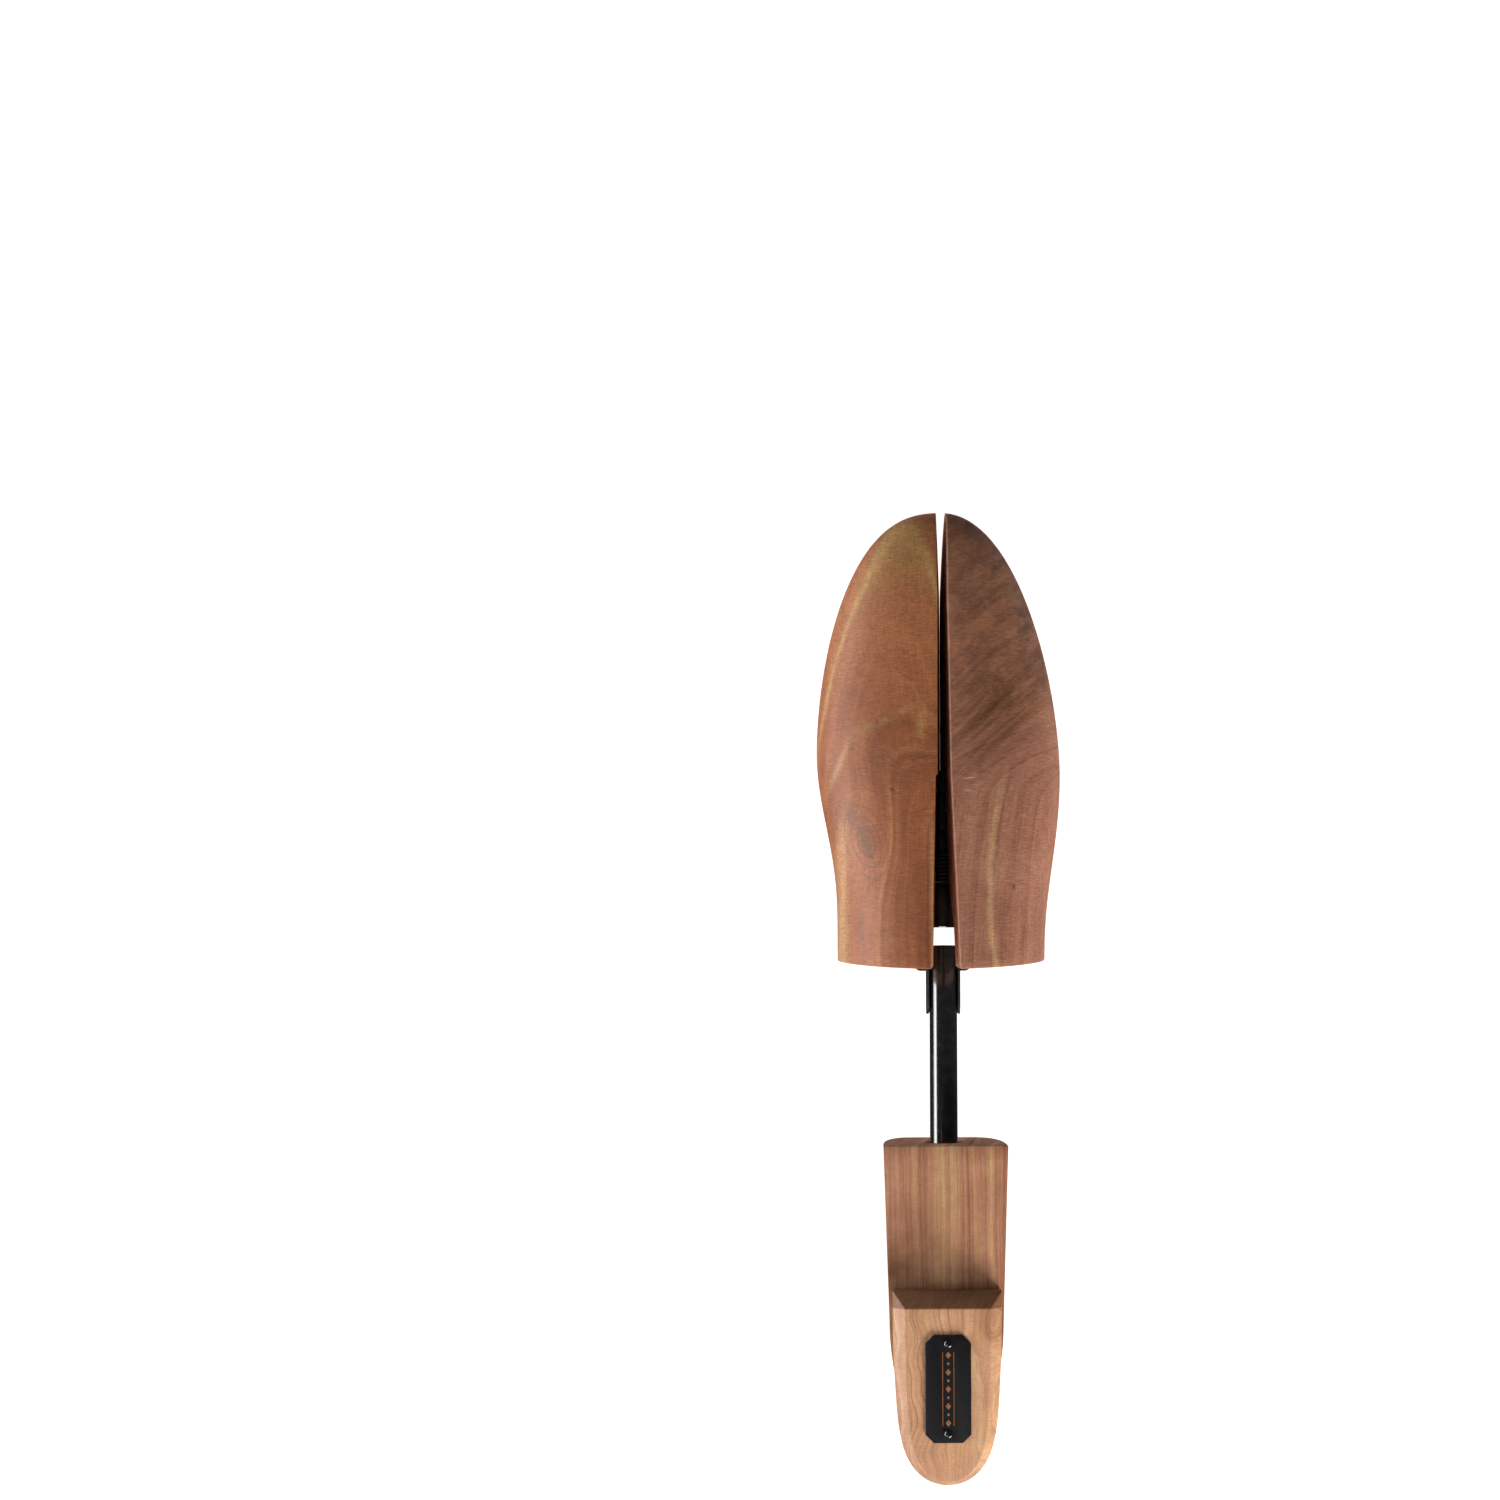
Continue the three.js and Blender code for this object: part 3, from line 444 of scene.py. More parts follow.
def grain_toe_right(n, p, x, y, z):
    """Straight rings at the back, with a pale streak along one, then dark bars aslant and a smoky tip."""
    upright = n.add(n.times(x, 0.9), n.times(z, 0.12), n.times(n.times(y, y), -0.0012))
    slope = n.add(n.times(x, 0.70), n.times(y, -0.70), n.times(z, 0.2))
    f = n.blend(n.step(y, 58.0, 100.0), upright, n.times(slope, 0.8))
    bend = n.math("SUBTRACT", y, 25.0)
    beside = n.add(x, n.times(n.times(bend, bend), -0.0034), n.times(n.noise(n.times(y, 0.06), 1, 2), 1.6))
    streak = n.spot(beside, 0.0, (15.9, 0.0), (1.15, 1.0))
    seam = n.spot(beside, 0.0, (17.9, 0.0), (0.5, 1.0))
    back, high = n.step(y, 76.0, 44.0), n.step(y, 30.0, 60.0)
    cloud = n.noise(n.vector(n.times(slope, 0.17), n.times(n.add(x, y), 0.055), n.times(z, 0.08)), 1, 5, 0.66)
    g = n.blend(n.step(y, 94.0, 122.0), f, n.add(n.times(x, 0.6), n.times(y, 0.25), n.times(cloud, 14.0)))
    bars = n.noise(n.vector(n.times(slope, 0.42), n.times(y, 0.015), n.times(x, 0.015)), 1, 4, 0.7)
    belt = n.spot(x, y, (18.0, 88.0), (24.0, 14.0), 38)
    ahead = n.step(y, 74.0, 102.0)
    tip = n.spot(x, y, (12.0, 150.0), (16.0, 15.0))
    edge = n.spot(x, y, (22.0, 137.0), (8.0, 5.0), -30)
    side = n.spot(x, y, (28.0, 118.0), (5.0, 12.0), 25)
    moss = n.spot(x, y, (24.5, 128.0), (4.5, 3.0), -40)
    speck = n.spot(x, y, (23.6, 27.6), (0.6, 0.9))
    nick = n.spot(x, y, (8.7, 64.9), (2.0, 0.28), 6)
    scratch = n.spot(x, y, (8.0, 60.6), (1.6, 0.2), -8)
    return f, g, [
        (n.times(n.times(streak, back), 0.75), (0.73, 0.43, 0.23)),
        (n.times(n.times(seam, n.times(back, high)), 0.65), LATE),
        (n.times(n.times(belt, n.step(bars, 0.26, 0.64)), 0.86), (0.125, 0.047, 0.016)),
        (n.times(ahead, 0.24), (0.22, 0.085, 0.028)),
        (n.times(n.times(ahead, n.step(cloud, 0.56, 0.40)), 0.4), (0.50, 0.225, 0.115)),
        (n.times(n.times(ahead, n.step(cloud, 0.42, 0.72)), 0.4), SMOKE),
        (n.times(tip, 0.12), (0.13, 0.075, 0.05)),
        (n.times(n.times(edge, n.step(cloud, 0.3, 0.6)), 0.7), SMOKE),
        (n.times(n.times(side, n.step(cloud, 0.36, 0.6)), 0.55), (0.10, 0.075, 0.058)),
        (n.times(n.times(moss, n.step(cloud, 0.4, 0.6)), 0.5), (0.33, 0.22, 0.085)),
        (n.times(speck, 0.75), SMOKE),
        (n.times(n.add(nick, scratch), 0.7), (0.82, 0.60, 0.40)),
    ]


def grain_block(n, p, x, y, z):
    f = n.add(x, n.times(z, 0.14), n.times(y, 0.012))
    cloud = n.noise(p, 0.05, 3, 0.6)
    # painted shadow: the handle's step casts this dark patch forward onto the block, darkest at the left
    step_shadow = n.spot(x, y, (-16.0, -107.0), (13.0, 20.0), -25)
    heart = n.spot(x, 0.0, (-1.0, 0.0), (5.0, 1.0))
    return f, f, [
        (n.times(heart, 0.30), (0.68, 0.415, 0.205)),
        # the painted step shadow, broken up by a cloud
        (n.times(n.times(step_shadow, n.step(cloud, 0.15, 0.6)), 0.9), (0.17, 0.062, 0.014)),
    ]


def grain_handle(n, p, x, y, z):
    sway = n.noise(n.vector(n.times(x, 0.05), n.times(y, 0.05), 0.0), 1, 1)
    bow = n.spot(x, y, (9.0, -124.0), (9.0, 16.0), 10)
    f = n.add(n.times(x, 0.9), n.times(z, 0.55), n.times(sway, 12.0), n.times(bow, 5.0))
    rim = n.noise(n.vector(n.times(x, 0.12), n.times(y, 0.03), n.times(z, 0.12)), 1, 2)
    # painted shade: the step's front faces are darkened beyond the end-grain darkening, as the lamps barely
    # reach them
    front = n.step(y, -115.6, -114.9)
    rear = n.step(y, -158.0, -168.0)
    return f, f, [
        (n.times(n.step(rim, 0.52, 0.7), 0.3), (0.74, 0.47, 0.225)),
        (n.times(rear, 0.4), (0.46, 0.215, 0.125)),
        # the painted shade on the step's front faces
        (n.times(front, 0.85), (0.20, 0.076, 0.026)),
    ]


BLOCK_TONES = [(0.0, (0.27, 0.108, 0.060)), (0.3, (0.43, 0.185, 0.105)), (0.55, (0.53, 0.250, 0.145)),
               (0.8, (0.58, 0.325, 0.160)), (1.0, (0.68, 0.42, 0.215))]
HANDLE_TONES = [(0.0, (0.46, 0.220, 0.115)), (0.35, (0.63, 0.325, 0.180)), (0.65, (0.72, 0.400, 0.230)),
                (1.0, (0.80, 0.51, 0.285))]


# ------------------------------------------------------------------ metals

def black_gloss(name, rough=0.16, grime=0.06):
    """Black enamel on steel: faint orange peel and a little dust."""
    n = Shader(name)
    p = n.place()[0]
    peel = n.noise(p, 1.6, 2, 0.5)
    dust = n.noise(p, 0.35, 5, 0.7)
    colour = n.ramp(n.step(dust, 0.45, 0.8, False), [(0, (0.012, 0.012, 0.014)), (1, (0.03, 0.03, 0.033))])
    roughness = n.add(rough, n.times(n.step(dust, 0.4, 0.8), grime))
    return n.finish(colour, roughness, n.bump(peel, 0.02, 0.35), Specular_IOR_Level=0.5, Coat_Weight=0.6,
                    Coat_Roughness=0.06)


def black_satin(name, rough=0.42):
    """Blackened sheet steel: a thin uneven finish with rubbed spots."""
    n = Shader(name)
    p = n.place()[0]
    cloud = n.noise(p, 0.3, 5, 0.65)
    grit = n.noise(p, 3.5, 3, 0.6)
    colour = n.ramp(n.step(cloud, 0.35, 0.75, False), [(0, (0.014, 0.014, 0.016)), (1, (0.04, 0.038, 0.038))])
    roughness = n.add(rough, n.times(cloud, 0.18), n.times(grit, 0.08))
    return n.finish(colour, roughness, n.bump(grit, 0.02, 0.5), Specular_IOR_Level=0.45)


def bare_steel(name, tint, rough=0.32):
    """Drawn or plated steel, with marks along it and a little stain."""
    n = Shader(name)
    p, x, y, z = n.place()
    drawn = n.noise(n.vector(n.times(x, 2.0), n.times(y, 0.4), n.times(z, 2.0)), 1, 4, 0.6)
    stain = n.noise(p, 0.4, 4, 0.6)
    dark = tuple(0.55 * c for c in tint)
    colour = n.ramp(n.step(stain, 0.35, 0.7, False), [(0, dark), (1, tint)])
    roughness = n.add(rough, n.times(drawn, 0.16))
    return n.finish(colour, roughness, n.bump(drawn, 0.015, 0.5), Metallic=1.0)


def plate_paint(name):
    """Matt black paint with fine grit."""
    n = Shader(name)
    p = n.place()[0]
    grit = n.noise(p, 2.6, 4, 0.75)
    cloud = n.noise(p, 0.25, 3, 0.6)
    colour = n.ramp(n.step(grit, 0.35, 0.75, False), [(0, (0.004, 0.004, 0.005)), (1, (0.014, 0.014, 0.018))])
    roughness = n.add(0.45, n.times(cloud, 0.2))
    return n.finish(colour, roughness, n.bump(grit, 0.03, 0.6), Specular_IOR_Level=0.16)


def copper_ink(name):
    n = Shader(name)
    p = n.place()[0]
    wear = n.noise(p, 2.2, 4, 0.7)
    colour = n.ramp(n.step(wear, 0.3, 0.7, False), [(0, (0.30, 0.10, 0.035)), (1, (0.62, 0.26, 0.10))])
    return n.finish(colour, n.add(0.35, n.times(wear, 0.2)), n.bump(wear, 0.02, 0.5), Metallic=0.7)


MATERIALS = {
    "toe_left": cedar("cedar_toe_left", grain_toe_left, TOE_TONES, 2.1, 0.62, 1.6),
    "toe_right": cedar("cedar_toe_right", grain_toe_right, RIGHT_TONES, 1.6, 0.4, 1.5),
    "block": cedar("cedar_block", grain_block, BLOCK_TONES, 1.15, 0.85, 0.5, 0.42, 0.2),
    "handle": cedar("cedar_handle", grain_handle, HANDLE_TONES, 1.7, 0.95, 0.7, 0.2, 0.2),
    "gloss": black_gloss("black_enamel"),
    "satin": black_satin("blackened_steel"),
    "spring": bare_steel("spring_steel", (0.42, 0.42, 0.43)),
    "screw": bare_steel("zinc_plate", (0.62, 0.60, 0.55), 0.28),
    "plate": plate_paint("plate_paint"),
    "copper": copper_ink("copper_ink"),
}


def finish_piece(obj, node, body, finish):
    """The piece stands for a CAD node, moves with its body and has one material."""
    obj.data.materials.clear()
    obj.data.materials.append(MATERIALS[finish])
    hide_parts(node)
    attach(obj, body)
    return obj


# ------------------------------------------------------------------ toe halves

TOE_LENGTH = 156.5
CROWN_BACK, CROWN_FALL, TIP_Z, TIP_START = 48.0, 0.16, 14.0, 100.0
TOE_SPRING, TOE_SPRING_START = 4.5, 112.0
WIDEST, SOLE_ROUND, BACK_BOW, DOME = 0.3, 7.0, 1.6, 2.3
OPEN_ANGLE = math.radians(JOINTS["toe_left_roll"]["range_deg"][1])
RELIEF_AT, RELIEF = 66.0, 1.9
FLARE_AT, FLARE = 128.0, 0.75
INSIDE = 0.01                          # the finer curve is kept this much inside the CAD's flats
EASED_EDGE, SOLE_EDGE = 0.7, 0.15      # the broken edge at the top and back, and at the sole
HALVES = {
    "left": dict(side=-1, back=36.3, ball=43.2, ball_at=73.0, waist_at=8.0, waist=1.6,
                 tip=1.8, root=2.5, saw=0.6),
    "right": dict(side=1, back=35.3, ball=41.1, ball_at=66.0, waist_at=0.0, waist=1.1,
                  tip=1.7, root=2.1, saw=0.0),
}


def clamp01(t):
    return min(1.0, max(0.0, t))


def outline_width(half, y):
    if y <= half["ball_at"]:
        t = clamp01((y - half["waist_at"]) / (half["ball_at"] - half["waist_at"]))
        rise = (0.5 - 0.5 * math.cos(math.pi * t)) ** half["waist"]
        return half["back"] + (half["ball"] - half["back"]) * rise
    t = clamp01((y - half["ball_at"]) / (TOE_LENGTH - half["ball_at"]))
    return half["ball"] * (1 - t ** half["tip"]) ** (1 / half["root"])


def tip_closing(y):
    return math.sqrt(1 - clamp01((y - TIP_START) / (TOE_LENGTH - TIP_START)) ** 3)


def crown_level(y):
    return TIP_Z + (CROWN_BACK - CROWN_FALL * y - TIP_Z) * tip_closing(y)


def sole_level(y):
    t = max(0.0, (y - TOE_SPRING_START) / (TOE_LENGTH - TOE_SPRING_START))
    return TIP_Z - (TIP_Z - TOE_SPRING * t * t) * tip_closing(y)


def inner_face(half, y, z):
    """How far a half's inner face stands from the split line. The two meet at the sole."""
    behind = max(0.0, (RELIEF_AT - y) / RELIEF_AT)
    ahead = max(0.0, (y - FLARE_AT) / (TOE_LENGTH - FLARE_AT))
    saw = half["saw"] if y < RELIEF_AT else 0.0
    above_sole = min(1.0, z / HINGE_Z)
    return z * math.tan(OPEN_ANGLE) + (saw + (RELIEF - saw) * behind) * above_sole + FLARE * ahead


def toe_section(half, y, draw_in=0.0):
    """One cross-section of a half, in (distance from the split line, height)."""
    crown, sole = crown_level(y), sole_level(y)
    widest = sole + WIDEST * (crown - sole)
    outside = max(outline_width(half, y) - INSIDE, inner_face(half, y, widest) + 0.05)
    eased = min(EASED_EDGE, 0.2 * (outside - inner_face(half, y, widest)), 0.2 * (crown - sole))
    edge = SOLE_ROUND * min(1.0, outside / half["back"])
    sole_inner = inner_face(half, y, sole)
    sole_outside = max(outside - edge, sole_inner + 2 * eased + 0.01)
    nick = min(eased, SOLE_EDGE)
    points = [(inner_face(half, y, sole + nick), sole + nick), (sole_inner + 0.3 * nick, sole + 0.3 * nick),
              (sole_inner + nick, sole)]
    for i in range(13):
        a = i / 12 * math.pi / 2
        points.append((sole_outside + (outside - sole_outside) * math.sin(a),
                       widest - (widest - sole) * math.cos(a)))
    power = 2 / DOME
    inner_top = min(0.98, (inner_face(half, y, crown) + eased) / outside)
    last = math.acos(inner_top ** (1 / power))
    for i in range(1, 41):
        a = i / 40 * last
        points.append((outside * math.cos(a) ** power, widest + (crown - widest) * math.sin(a) ** power))
    x_end, z_end = points[-1]
    for i in range(1, 6):
        a = i / 5 * math.pi / 2
        points.append((x_end - eased * math.sin(a), z_end - eased * (1 - math.cos(a))))
    levels = [z_end - eased - (z_end - 2 * eased - sole) * k / 8 for k in range(1, 8)]
    points += [(inner_face(half, y, z), z) for z in levels]
    if draw_in:
        cx = sum(p[0] for p in points) / len(points)
        cz = sum(p[1] for p in points) / len(points)
        points = [(px - (px - cx) * draw_in / math.hypot(px - cx, pz - cz),
                   pz - (pz - cz) * draw_in / math.hypot(px - cx, pz - cz)) for px, pz in points]
    bow = BACK_BOW * max(0.0, 1 - y / 40)
    return [(half["side"] * px, y + bow * (px / half["back"]) ** 2, pz) for px, pz in points]


def toe_cutters(half):
    """What is let into a half: bracket kerf, leaf kerf, spring room, hinge groove, pocket and screw holes."""
    sheet, gap = 1.2, 0.3
    low, high = HINGE_Z - sheet / 2 - gap, HINGE_Z + sheet / 2 + gap
    roll = 10 * math.sin(OPEN_ANGLE)
    pocket = [(-6, -2), (15.5, -2), (15.5, low), (31.7, low), (31.7, high), (13.6, 31), (-6, 33)]
    cutters = [
        box("cut", (-10.7, 10.7), (-5, 28), (low - roll, high)),
        box("cut", (-21, 21), (39.7, 66.3), (low, high)),
        box("cut", (-12, 12), (27, 53), (low, HINGE_Z + 3.4)),
        solid_rod("cut", 3.4, (12, 68.5), (0, 0, HINGE_Z)),
        prism("cut", pocket, -8.2, 8.2, "x"),
    ]
    for y in SCREW_Y:
        x = half["side"] * SCREW_X
        cutters.append(solid_rod("cut", 3.25, (-1, 3.05), (x, y, 0), "z"))
        cutters.append(solid_rod("cut", 1.65, (2, 24.25), (x, y, 0), "z"))
    return cutters


SCREW_X, SCREW_Y = 13.0, (46.5, 59.5)


def toe_half(name):
    half = HALVES[name]
    rings = [toe_section(half, 0.0, 0.55), toe_section(half, 0.1, 0.3), toe_section(half, 0.3, 0.08)]
    stations = [0.6] + [3.0 * k for k in range(1, 22)] + [65.9, 66.05]
    steps = 64
    stations += [66 + (TOE_LENGTH - 66) * math.sin(k / steps * math.pi / 2) for k in range(1, steps)]
    rings += [toe_section(half, y) for y in stations]
    tip = (half["side"] * inner_face(half, TOE_LENGTH, TIP_Z), TOE_LENGTH, TIP_Z)
    piece = loft(f"cedar_toe_half_{name}", rings, None, tip)
    combine(piece, toe_cutters(half), sharp=28)
    return finish_piece(piece, f"toe_half_{name}", f"toe_{name}", f"toe_{name}")


for half_name in HALVES:
    toe_half(half_name)

# ------------------------------------------------------------------ heel

HEEL_FRONT = -60.8
BLOCK_HEIGHT, BLOCK_LENGTH, BLOCK_ROUND = 40.0, 104.0, 60.0
FRONT_WIDTH, STEP_WIDTH, STEP_AT = 21.3, 19.8, 48.8
SOLE_INSET, REAR_LIFT, SIDE_FULLNESS = 10.5, 6.0, 2.5
BORE_RADIUS, BORE_DEPTH = 6.35, 75.0
PIN_Y = HEEL_FRONT - 38.0


def block_width(back):
    if back <= BLOCK_ROUND:
        return FRONT_WIDTH + (STEP_WIDTH - FRONT_WIDTH) * back / STEP_AT
    t = (back - BLOCK_ROUND) / (BLOCK_LENGTH - BLOCK_ROUND)
    return block_width(BLOCK_ROUND) * math.sqrt(max(0.0, 1 - t * t))


def block_section(back):
    width = max(block_width(back), 0.6)
    inset = SOLE_INSET * min(1.0, width / 19.4)
    sole = REAR_LIFT * (max(0.0, back - BLOCK_ROUND) / (BLOCK_LENGTH - BLOCK_ROUND)) ** 3
    power = 2 / SIDE_FULLNESS
    side = []
    for i in range(33):
        a = (1 - i / 32) * math.pi / 2
        x = width - inset * (1 - max(0.0, math.cos(a)) ** power)
        z = BLOCK_HEIGHT - (BLOCK_HEIGHT - sole) * math.sin(a) ** power
        side.append((width - inset if i == 0 else x, z))
    outline = side + [(-x, z) for x, z in reversed(side)]
    return [(x, HEEL_FRONT - back, z) for x, z in outline]


def heel_block():
    turns = 40
    stations = [6.0 * k for k in range(10)] + [BLOCK_ROUND]
    closing = BLOCK_LENGTH - BLOCK_ROUND
    stations += [BLOCK_ROUND + closing * math.sin(k / turns * math.pi / 2) for k in range(1, turns)]
    piece = soften(loft("cedar_heel_block", [block_section(back) for back in stations]), 0.45, 3, 50)
    bore = solid_rod("cut", BORE_RADIUS, (HEEL_FRONT - BORE_DEPTH, HEEL_FRONT + 1), (0, 0, TUBE_Z))
    inside, outside = HEEL_FRONT - 0.5, HEEL_FRONT + 0.1
    flare = [(0, inside), (BORE_RADIUS - 0.05, inside), (BORE_RADIUS + 0.55, outside), (0, outside)]
    mouth = turned("cut", flare, (0, 0, TUBE_Z))
    pin_hole = solid_rod("cut", 2.15, (-1, 31.3), (0, PIN_Y, 0), "z")
    combine(piece, [bore, mouth, pin_hole])
    return finish_piece(piece, "heel_block", "heel", "block")


HANDLE_LOW, HANDLE_TOP, CHAMFER, FRONT_CHAMFER, END_CHAMFER = 40.2, 50.0, 4.0, 5.6, 1.4
HANDLE_LENGTH, HANDLE_FRONT, HANDLE_WAIST_AT, HANDLE_WAIST, HANDLE_TAPER = 66.0, 18.6, 22.0, 18.3, 0.12


def handle_width(back):
    if back <= HANDLE_WAIST_AT:
        return HANDLE_FRONT + (HANDLE_WAIST - HANDLE_FRONT) * back / HANDLE_WAIST_AT
    t = min(1.0, (back - HANDLE_WAIST_AT) / (HANDLE_LENGTH - HANDLE_WAIST_AT))
    return HANDLE_WAIST * (1 - HANDLE_TAPER * t) * math.sqrt(1 - t ** 5)


def handle_ring(z, margin=0.0, front_margin=0.0, end_margin=0.0):
    """The handle's plan, with its side, front and rounded end each drawn in by a margin."""
    front = HEEL_FRONT - STEP_AT
    shrink = (HANDLE_FRONT - margin) / HANDLE_FRONT
    shorten = (HANDLE_LENGTH - end_margin - front_margin) / HANDLE_LENGTH
    steps = 72
    right = []
    for i in range(steps):
        back = HANDLE_LENGTH * math.sin(i / steps * math.pi / 2)
        right.append((handle_width(back) * shrink, front - front_margin - back * shorten, z))
    tip = (0.0, front - HANDLE_LENGTH + end_margin, z)
    return right + [tip] + [(-x, y, zz) for x, y, zz in reversed(right)]


def heel_handle():
    rings = [handle_ring(HANDLE_LOW), handle_ring(HANDLE_TOP - CHAMFER),
             handle_ring(HANDLE_TOP, CHAMFER, FRONT_CHAMFER, END_CHAMFER)]
    piece = soften(loft("cedar_heel_handle", rings), 0.4, 3, 30)
    depth = (HANDLE_TOP - 7.5, HANDLE_TOP + 1)
    holes = [solid_rod("cut", NAIL_HOLE, depth, (0, y, 0), "z") for y in NAIL_Y]
    combine(piece, holes)
    return finish_piece(piece, "heel_handle", "heel", "handle")


PLATE_LOW, PLATE_HIGH = (cad_mm("nameplate")[k].z for k in (0, 1))
PLATE_REAR, PLATE_FRONT = (cad_mm("nameplate")[k].y for k in (0, 1))
PLATE_HALF, PLATE_CORNER, NAIL_INSET, NAIL_HOLE, LINE_HALF = 7.75, 2.8, 3.0, 0.85, 0.11
NAIL_Y = (PLATE_FRONT - NAIL_INSET, PLATE_REAR + NAIL_INSET)


def nameplate():
    """A black plate with cut corners and, along its middle, a plain row of lozenges and dots."""
    h, c = PLATE_HALF, PLATE_CORNER
    outline = [(h - c, PLATE_FRONT), (-h + c, PLATE_FRONT), (-h, PLATE_FRONT - c), (-h, PLATE_REAR + c),
               (-h + c, PLATE_REAR), (h - c, PLATE_REAR), (h, PLATE_REAR + c), (h, PLATE_FRONT - c)]
    top = PLATE_HIGH - 0.06
    plate = soften(prism("black_nameplate", outline, PLATE_LOW, top), 0.18, 3, 40)
    through = (PLATE_LOW - 1, PLATE_HIGH + 1)
    combine(plate, [solid_rod("cut", NAIL_HOLE, through, (0, y, 0), "z") for y in NAIL_Y])
    plate.data.materials.append(MATERIALS["plate"])
    plate.data.materials.append(MATERIALS["copper"])
    inked = (top - 0.02, PLATE_HIGH - 0.01)
    ornament, count, span = [], 9, 11.5
    middle = (PLATE_FRONT + PLATE_REAR) / 2
    for k in range(count):
        y = middle + span * (2 * k / (count - 1) - 1)
        size, corners = (0.95, 4) if k % 2 == 0 else (0.42, 14)
        angles = [2 * math.pi * i / corners for i in range(corners)]
        shape = [(size * math.cos(a), y + 1.25 * size * math.sin(a)) for a in angles]
        ornament.append(prism("mark", shape, *inked))
    for x in (-1.9, 1.9):
        line = (x - LINE_HALF, x + LINE_HALF)
        ornament.append(box("mark", line, (middle - span - 1, middle + span + 1), inked))
    merge(plate, ornament, 1)
    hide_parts("nameplate")
    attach(plate, "heel")


def merge(obj, others, material_index):
    """Adds the others' meshes to obj as they are, with another of its materials."""
    work = bmesh.new()
    work.from_mesh(obj.data)
    for other in others:
        before = len(work.faces)
        work.from_mesh(other.data)
        work.faces.ensure_lookup_table()
        for face in work.faces[before:]:
            face.material_index = material_index
        bpy.data.objects.remove(other)
    work.to_mesh(obj.data)
    work.free()


def plate_nail(which, y):
    seat, shank, head, rim, dome = PLATE_HIGH + 0.05, 0.65, 1.4, 0.08, 0.72
    profile = [(0, seat - 8), (shank, seat - 6.5), (shank, seat - 0.02), (head - rim, seat - 0.02),
               (head, seat + rim)]
    angles = [i / 10 * math.pi / 2 for i in range(1, 10)]
    profile += [(head * math.cos(a), seat + rim + dome * math.sin(a)) for a in angles]
    profile.append((0, seat + rim + dome))
    piece = turned(f"nail_{which}", profile, (0, y, 0), "z", 40, 50)
    arm, slot, floor = 0.95, 0.17, seat + 0.42
    combine(piece, [box("cut", (-arm, arm), (y - slot, y + slot), (floor, seat + 1)),
                    box("cut", (-slot, slot), (y - arm, y + arm), (floor, seat + 1))])
    return finish_piece(piece, f"nameplate_nail_{which}", "heel", "gloss")


heel_block()
heel_handle()
nameplate()
plate_nail("front", NAIL_Y[0])
plate_nail("rear", NAIL_Y[1])

# ------------------------------------------------------------------ tube

TUBE_RADIUS, TUBE_WALL, HEEL_TRAVEL = 4.75, 0.9, JOINTS["heel_slide"]["range_m"][1] / MM


def tube():
    low, high = cad_mm("tube")
    rear, front = low.y, high.y
    inner, edge = TUBE_RADIUS - TUBE_WALL, 0.18
    nick = 0.3 * edge
    profile = [(inner, rear), (TUBE_RADIUS - edge, rear), (TUBE_RADIUS, rear + edge),
               (TUBE_RADIUS, front - edge), (TUBE_RADIUS - nick, front - nick),
               (TUBE_RADIUS - edge, front), (inner + edge, front), (inner, front - edge)]
    piece = turned("steel_tube", profile, (0, 0, TUBE_Z), "y", 128)
    slot = 2.3
    span = (TUBE_Z - 6, TUBE_Z + 6)
    cutters = [box("cut", (-slot, slot), (PIN_Y, PIN_Y + HEEL_TRAVEL), span),
               solid_rod("cut", slot, span, (0, PIN_Y, 0), "z"),
               solid_rod("cut", slot, span, (0, PIN_Y + HEEL_TRAVEL, 0), "z"),
               solid_rod("cut", 1.58, (-9, 9), (0, PIVOT_AHEAD, TUBE_Z), "x")]
    combine(piece, cutters)
    return finish_piece(piece, "tube", "tube", "gloss")


def main_spring():
    low, high = cad_mm("main_spring")
    length = high.y - low.y
    wire_radius, coil_radius, turns, end_room = 0.5, 2.9, 15, 0.6
    steps = turns * 36
    path = []
    for i in range(steps + 1):
        t = i / steps
        a = 2 * math.pi * turns * t
        y = low.y + end_room + (length - 2 * end_room) * t
        path.append((coil_radius * math.cos(a), y, TUBE_Z + coil_radius * math.sin(a)))
    coil = wire("coil_spring", path, wire_radius)
    piece = finish_piece(coil, "main_spring", "tube", "spring")
    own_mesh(piece)
    return piece


tube()
main_spring()

HARDWARE = {
    "tube_bracket": ("bracket", "black_steel", "satin"),
    "pivot_rivet": ("bracket", "black_steel", "satin"),
    "hinge_pin": ("bracket", "spring_steel", "satin"),
    "hinge_leaf_left": ("toe_left", "black_steel", "satin"),
    "hinge_leaf_right": ("toe_right", "black_steel", "satin"),
    "leaf_screw_left_rear": ("toe_left", "screw_steel", "screw"),
    "leaf_screw_left_front": ("toe_left", "screw_steel", "screw"),
    "leaf_screw_right_rear": ("toe_right", "screw_steel", "screw"),
    "leaf_screw_right_front": ("toe_right", "screw_steel", "screw"),
    "tube_plug": ("tube", "spring_steel", "spring"),
    "spring_follower": ("heel", "spring_steel", "spring"),
    "cross_pin": ("heel", "spring_steel", "spring"),
}


def eased_copy(node, body, finish, width=0.13):
    """A CAD part with its edges broken, for the small steel parts that the CAD gives in full."""
    obj = bpy.data.objects.new(f"steel_{node}", frame["nodes"][node].data.copy())
    bpy.context.scene.collection.objects.link(obj)
    tidy_mesh(obj)
    work = bmesh.new()
    work.from_mesh(obj.data)
    bmesh.ops.dissolve_limit(work, angle_limit=math.radians(0.5), verts=work.verts, edges=work.edges)
    work.to_mesh(obj.data)
    work.free()
    soften(obj, width, 2, 40)
    return finish_piece(obj, node, body, finish)


for node, (body, slot, finish) in HARDWARE.items():
    eased_copy(node, body, finish)


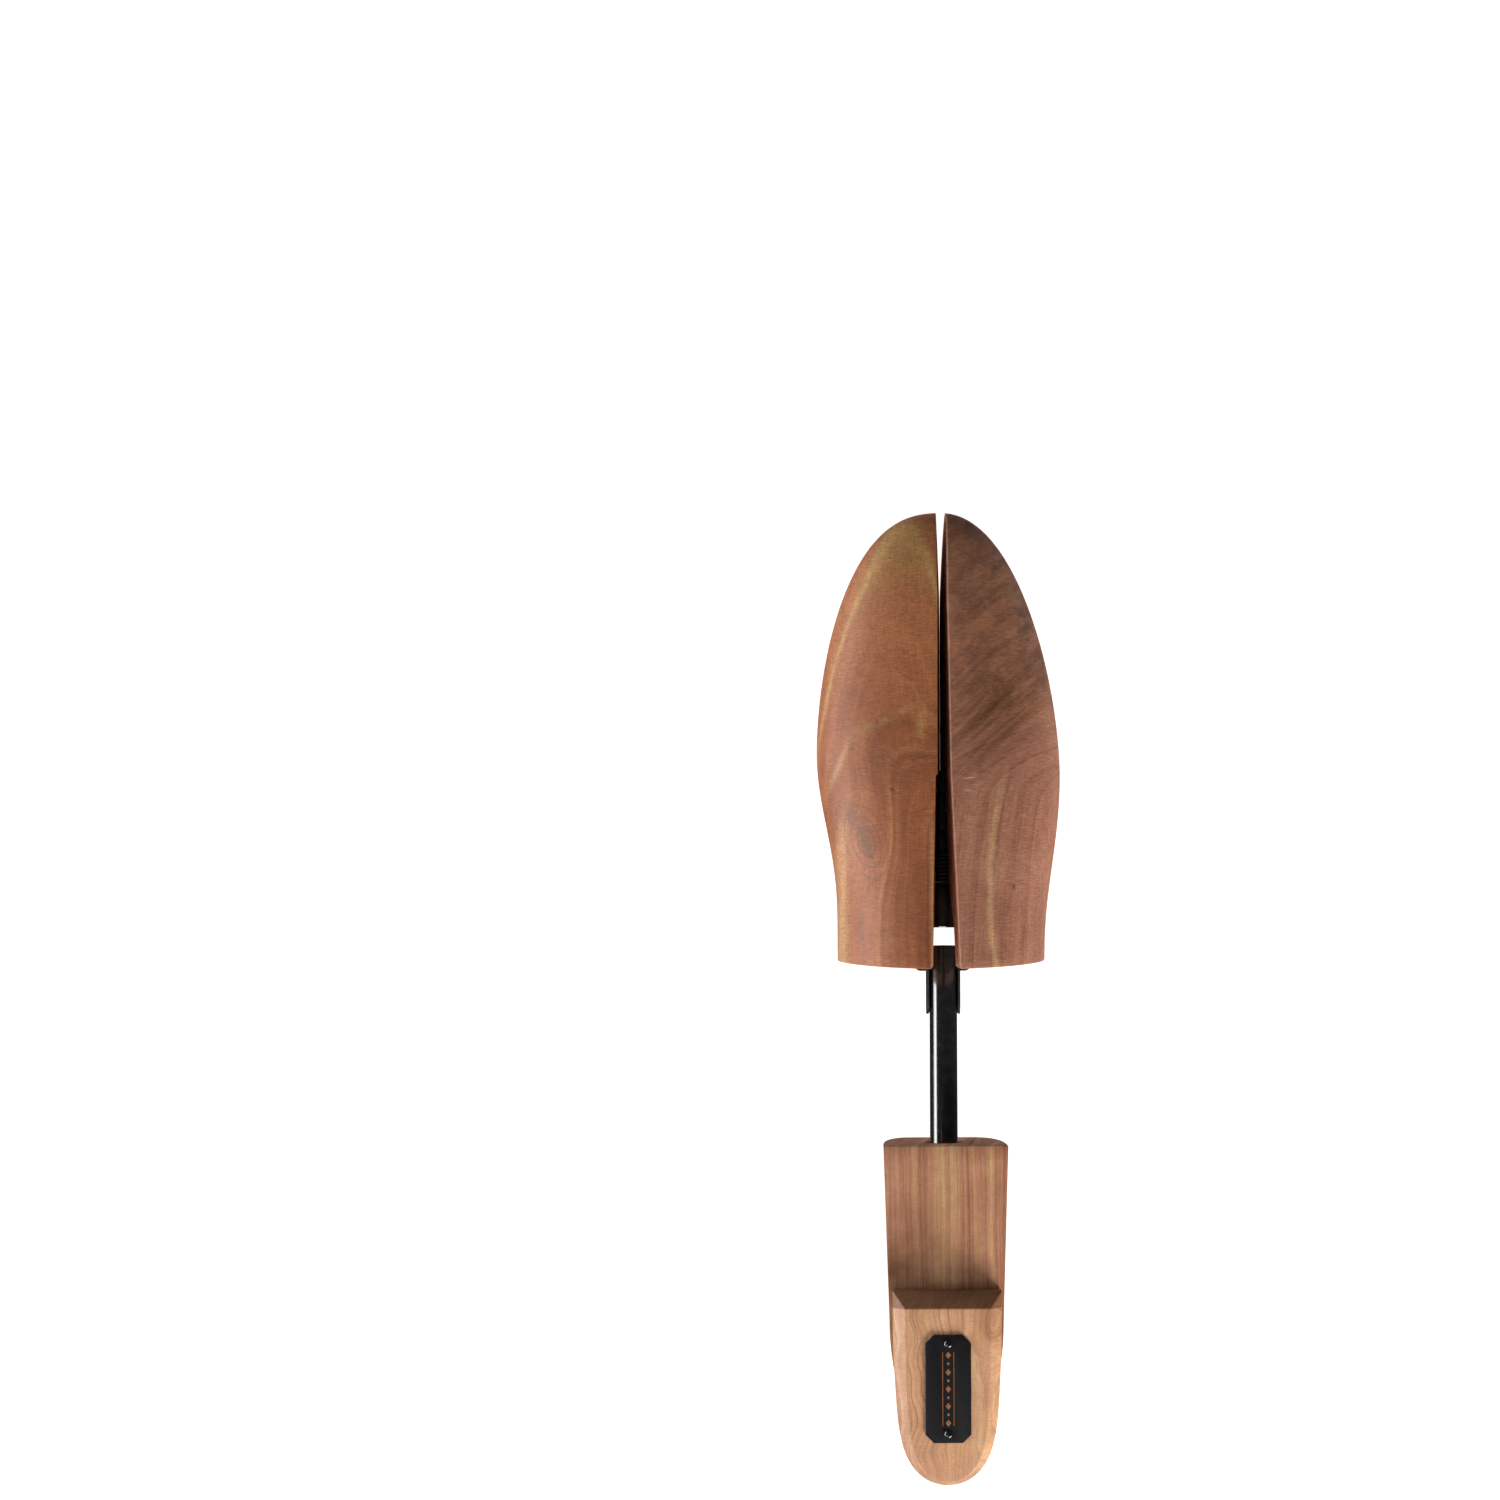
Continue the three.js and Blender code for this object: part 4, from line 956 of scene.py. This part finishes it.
def spread_spring():
    """The coil stays on the bracket, and each of its legs turns with the half that it presses on."""
    wire_radius, radius, turns = 0.6, 2.15, 7
    start, end, reach, clear = 29.0, 38.4, 9.5, 0.3
    leg = HINGE_Z + 1.5
    top = HINGE_Z + radius
    steps = turns * 24
    coil = [(radius * math.sin(2 * math.pi * turns * i / steps), start + (end - start) * i / steps,
             HINGE_Z + radius * math.cos(2 * math.pi * turns * i / steps)) for i in range(steps + 1)]
    piece = wire("steel_spread_spring", coil, wire_radius)
    finish_piece(piece, "spread_spring", "bracket", "satin")
    for name, side, at, leg_end in (("left", -1, start, 43.0), ("right", 1, end, 52.0)):
        path = [(side * clear, at, top), (side * 2.5, at + 0.05, top), (side * 5, at + 0.2, top - 0.3),
                (side * (reach - 1.5), at + 1.6, leg + 0.1), (side * reach, at + 5, leg),
                (side * reach, leg_end, leg)]
        piece = wire(f"steel_spring_leg_{name}", cut_corners(path), wire_radius)
        piece.data.materials.append(MATERIALS["satin"])
        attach(piece, f"toe_{name}")


spread_spring()

# ------------------------------------------------------------------ stage, light and camera

CAMERA_X, CAMERA_Y = -66.3, 74.7       # over the middle of the picture, from the split line and toe's back
CAMERA_HEIGHT = 1751.0
FIELD = 517.5                          # width seen at the tube's level, mm


def stage():
    half, level = 3000, -0.2           # just under the soles, so that the two never coincide
    corners = [(-half, -half, level), (half, -half, level), (half, half, level), (-half, half, level)]
    floor = mesh_object("floor", corners, [(0, 1, 2, 3)])
    n = Shader("pale_floor")
    p = n.place()[0]
    paper = n.noise(p, 0.02, 3, 0.5)
    n.finish(n.ramp(paper, [(0, (0.60, 0.60, 0.60)), (1, (0.64, 0.64, 0.64))]), 0.9, Specular_IOR_Level=0.05,
             Emission_Color=(1, 1, 1, 1), Emission_Strength=0.9)
    floor.data.materials.append(n.material)
    floor.visible_glossy = False


def area_light(name, place, target, size, power, colour=(1, 1, 1)):
    data = bpy.data.lights.new(name, "AREA")
    data.shape = "RECTANGLE"
    data.size, data.size_y = size
    data.energy = power
    data.color = colour
    light = bpy.data.objects.new(name, data)
    light.location = row(*place)
    light.rotation_euler = (row(*target) - light.location).to_track_quat("-Z", "Y").to_euler()
    bpy.context.scene.collection.objects.link(light)
    return light


def lights():
    world = bpy.data.worlds.new("studio")
    world.use_nodes = True
    world.node_tree.nodes["Background"].inputs["Color"].default_value = (1, 1, 1, 1)
    world.node_tree.nodes["Background"].inputs["Strength"].default_value = 0.03
    bpy.context.scene.world = world
    area_light("key", (640, -1120, 560), (0, -20, 20), (0.8, 0.5), 22.5, (1.0, 0.98, 0.93))
    area_light("top", (-480, -620, 1100), (0, 0, 20), (0.9, 0.9), 4.2, (1.0, 0.99, 0.96))
    area_light("left", (-900, 60, 330), (0, 60, 20), (0.9, 0.3), 5.0, (1.0, 0.98, 0.94))
    card = area_light("edge_card", (-520, -70, 125), (0, -70, 21), (0.9, 0.24), 6.5)
    card.visible_diffuse = False


def camera():
    data = bpy.data.cameras.new("camera")
    data.sensor_width = 36
    data.lens = 36 * (CAMERA_HEIGHT - TUBE_Z) / FIELD
    data.clip_start, data.clip_end = 0.05, 20
    obj = bpy.data.objects.new("camera", data)
    obj.location = row(CAMERA_X, CAMERA_Y, CAMERA_HEIGHT)
    obj.rotation_euler = (0, 0, math.radians(-0.25))
    bpy.context.scene.collection.objects.link(obj)
    bpy.context.scene.camera = obj


stage()
lights()
camera()
bpy.context.scene.view_settings.view_transform = "Standard"
bpy.context.scene.view_settings.look = "None"
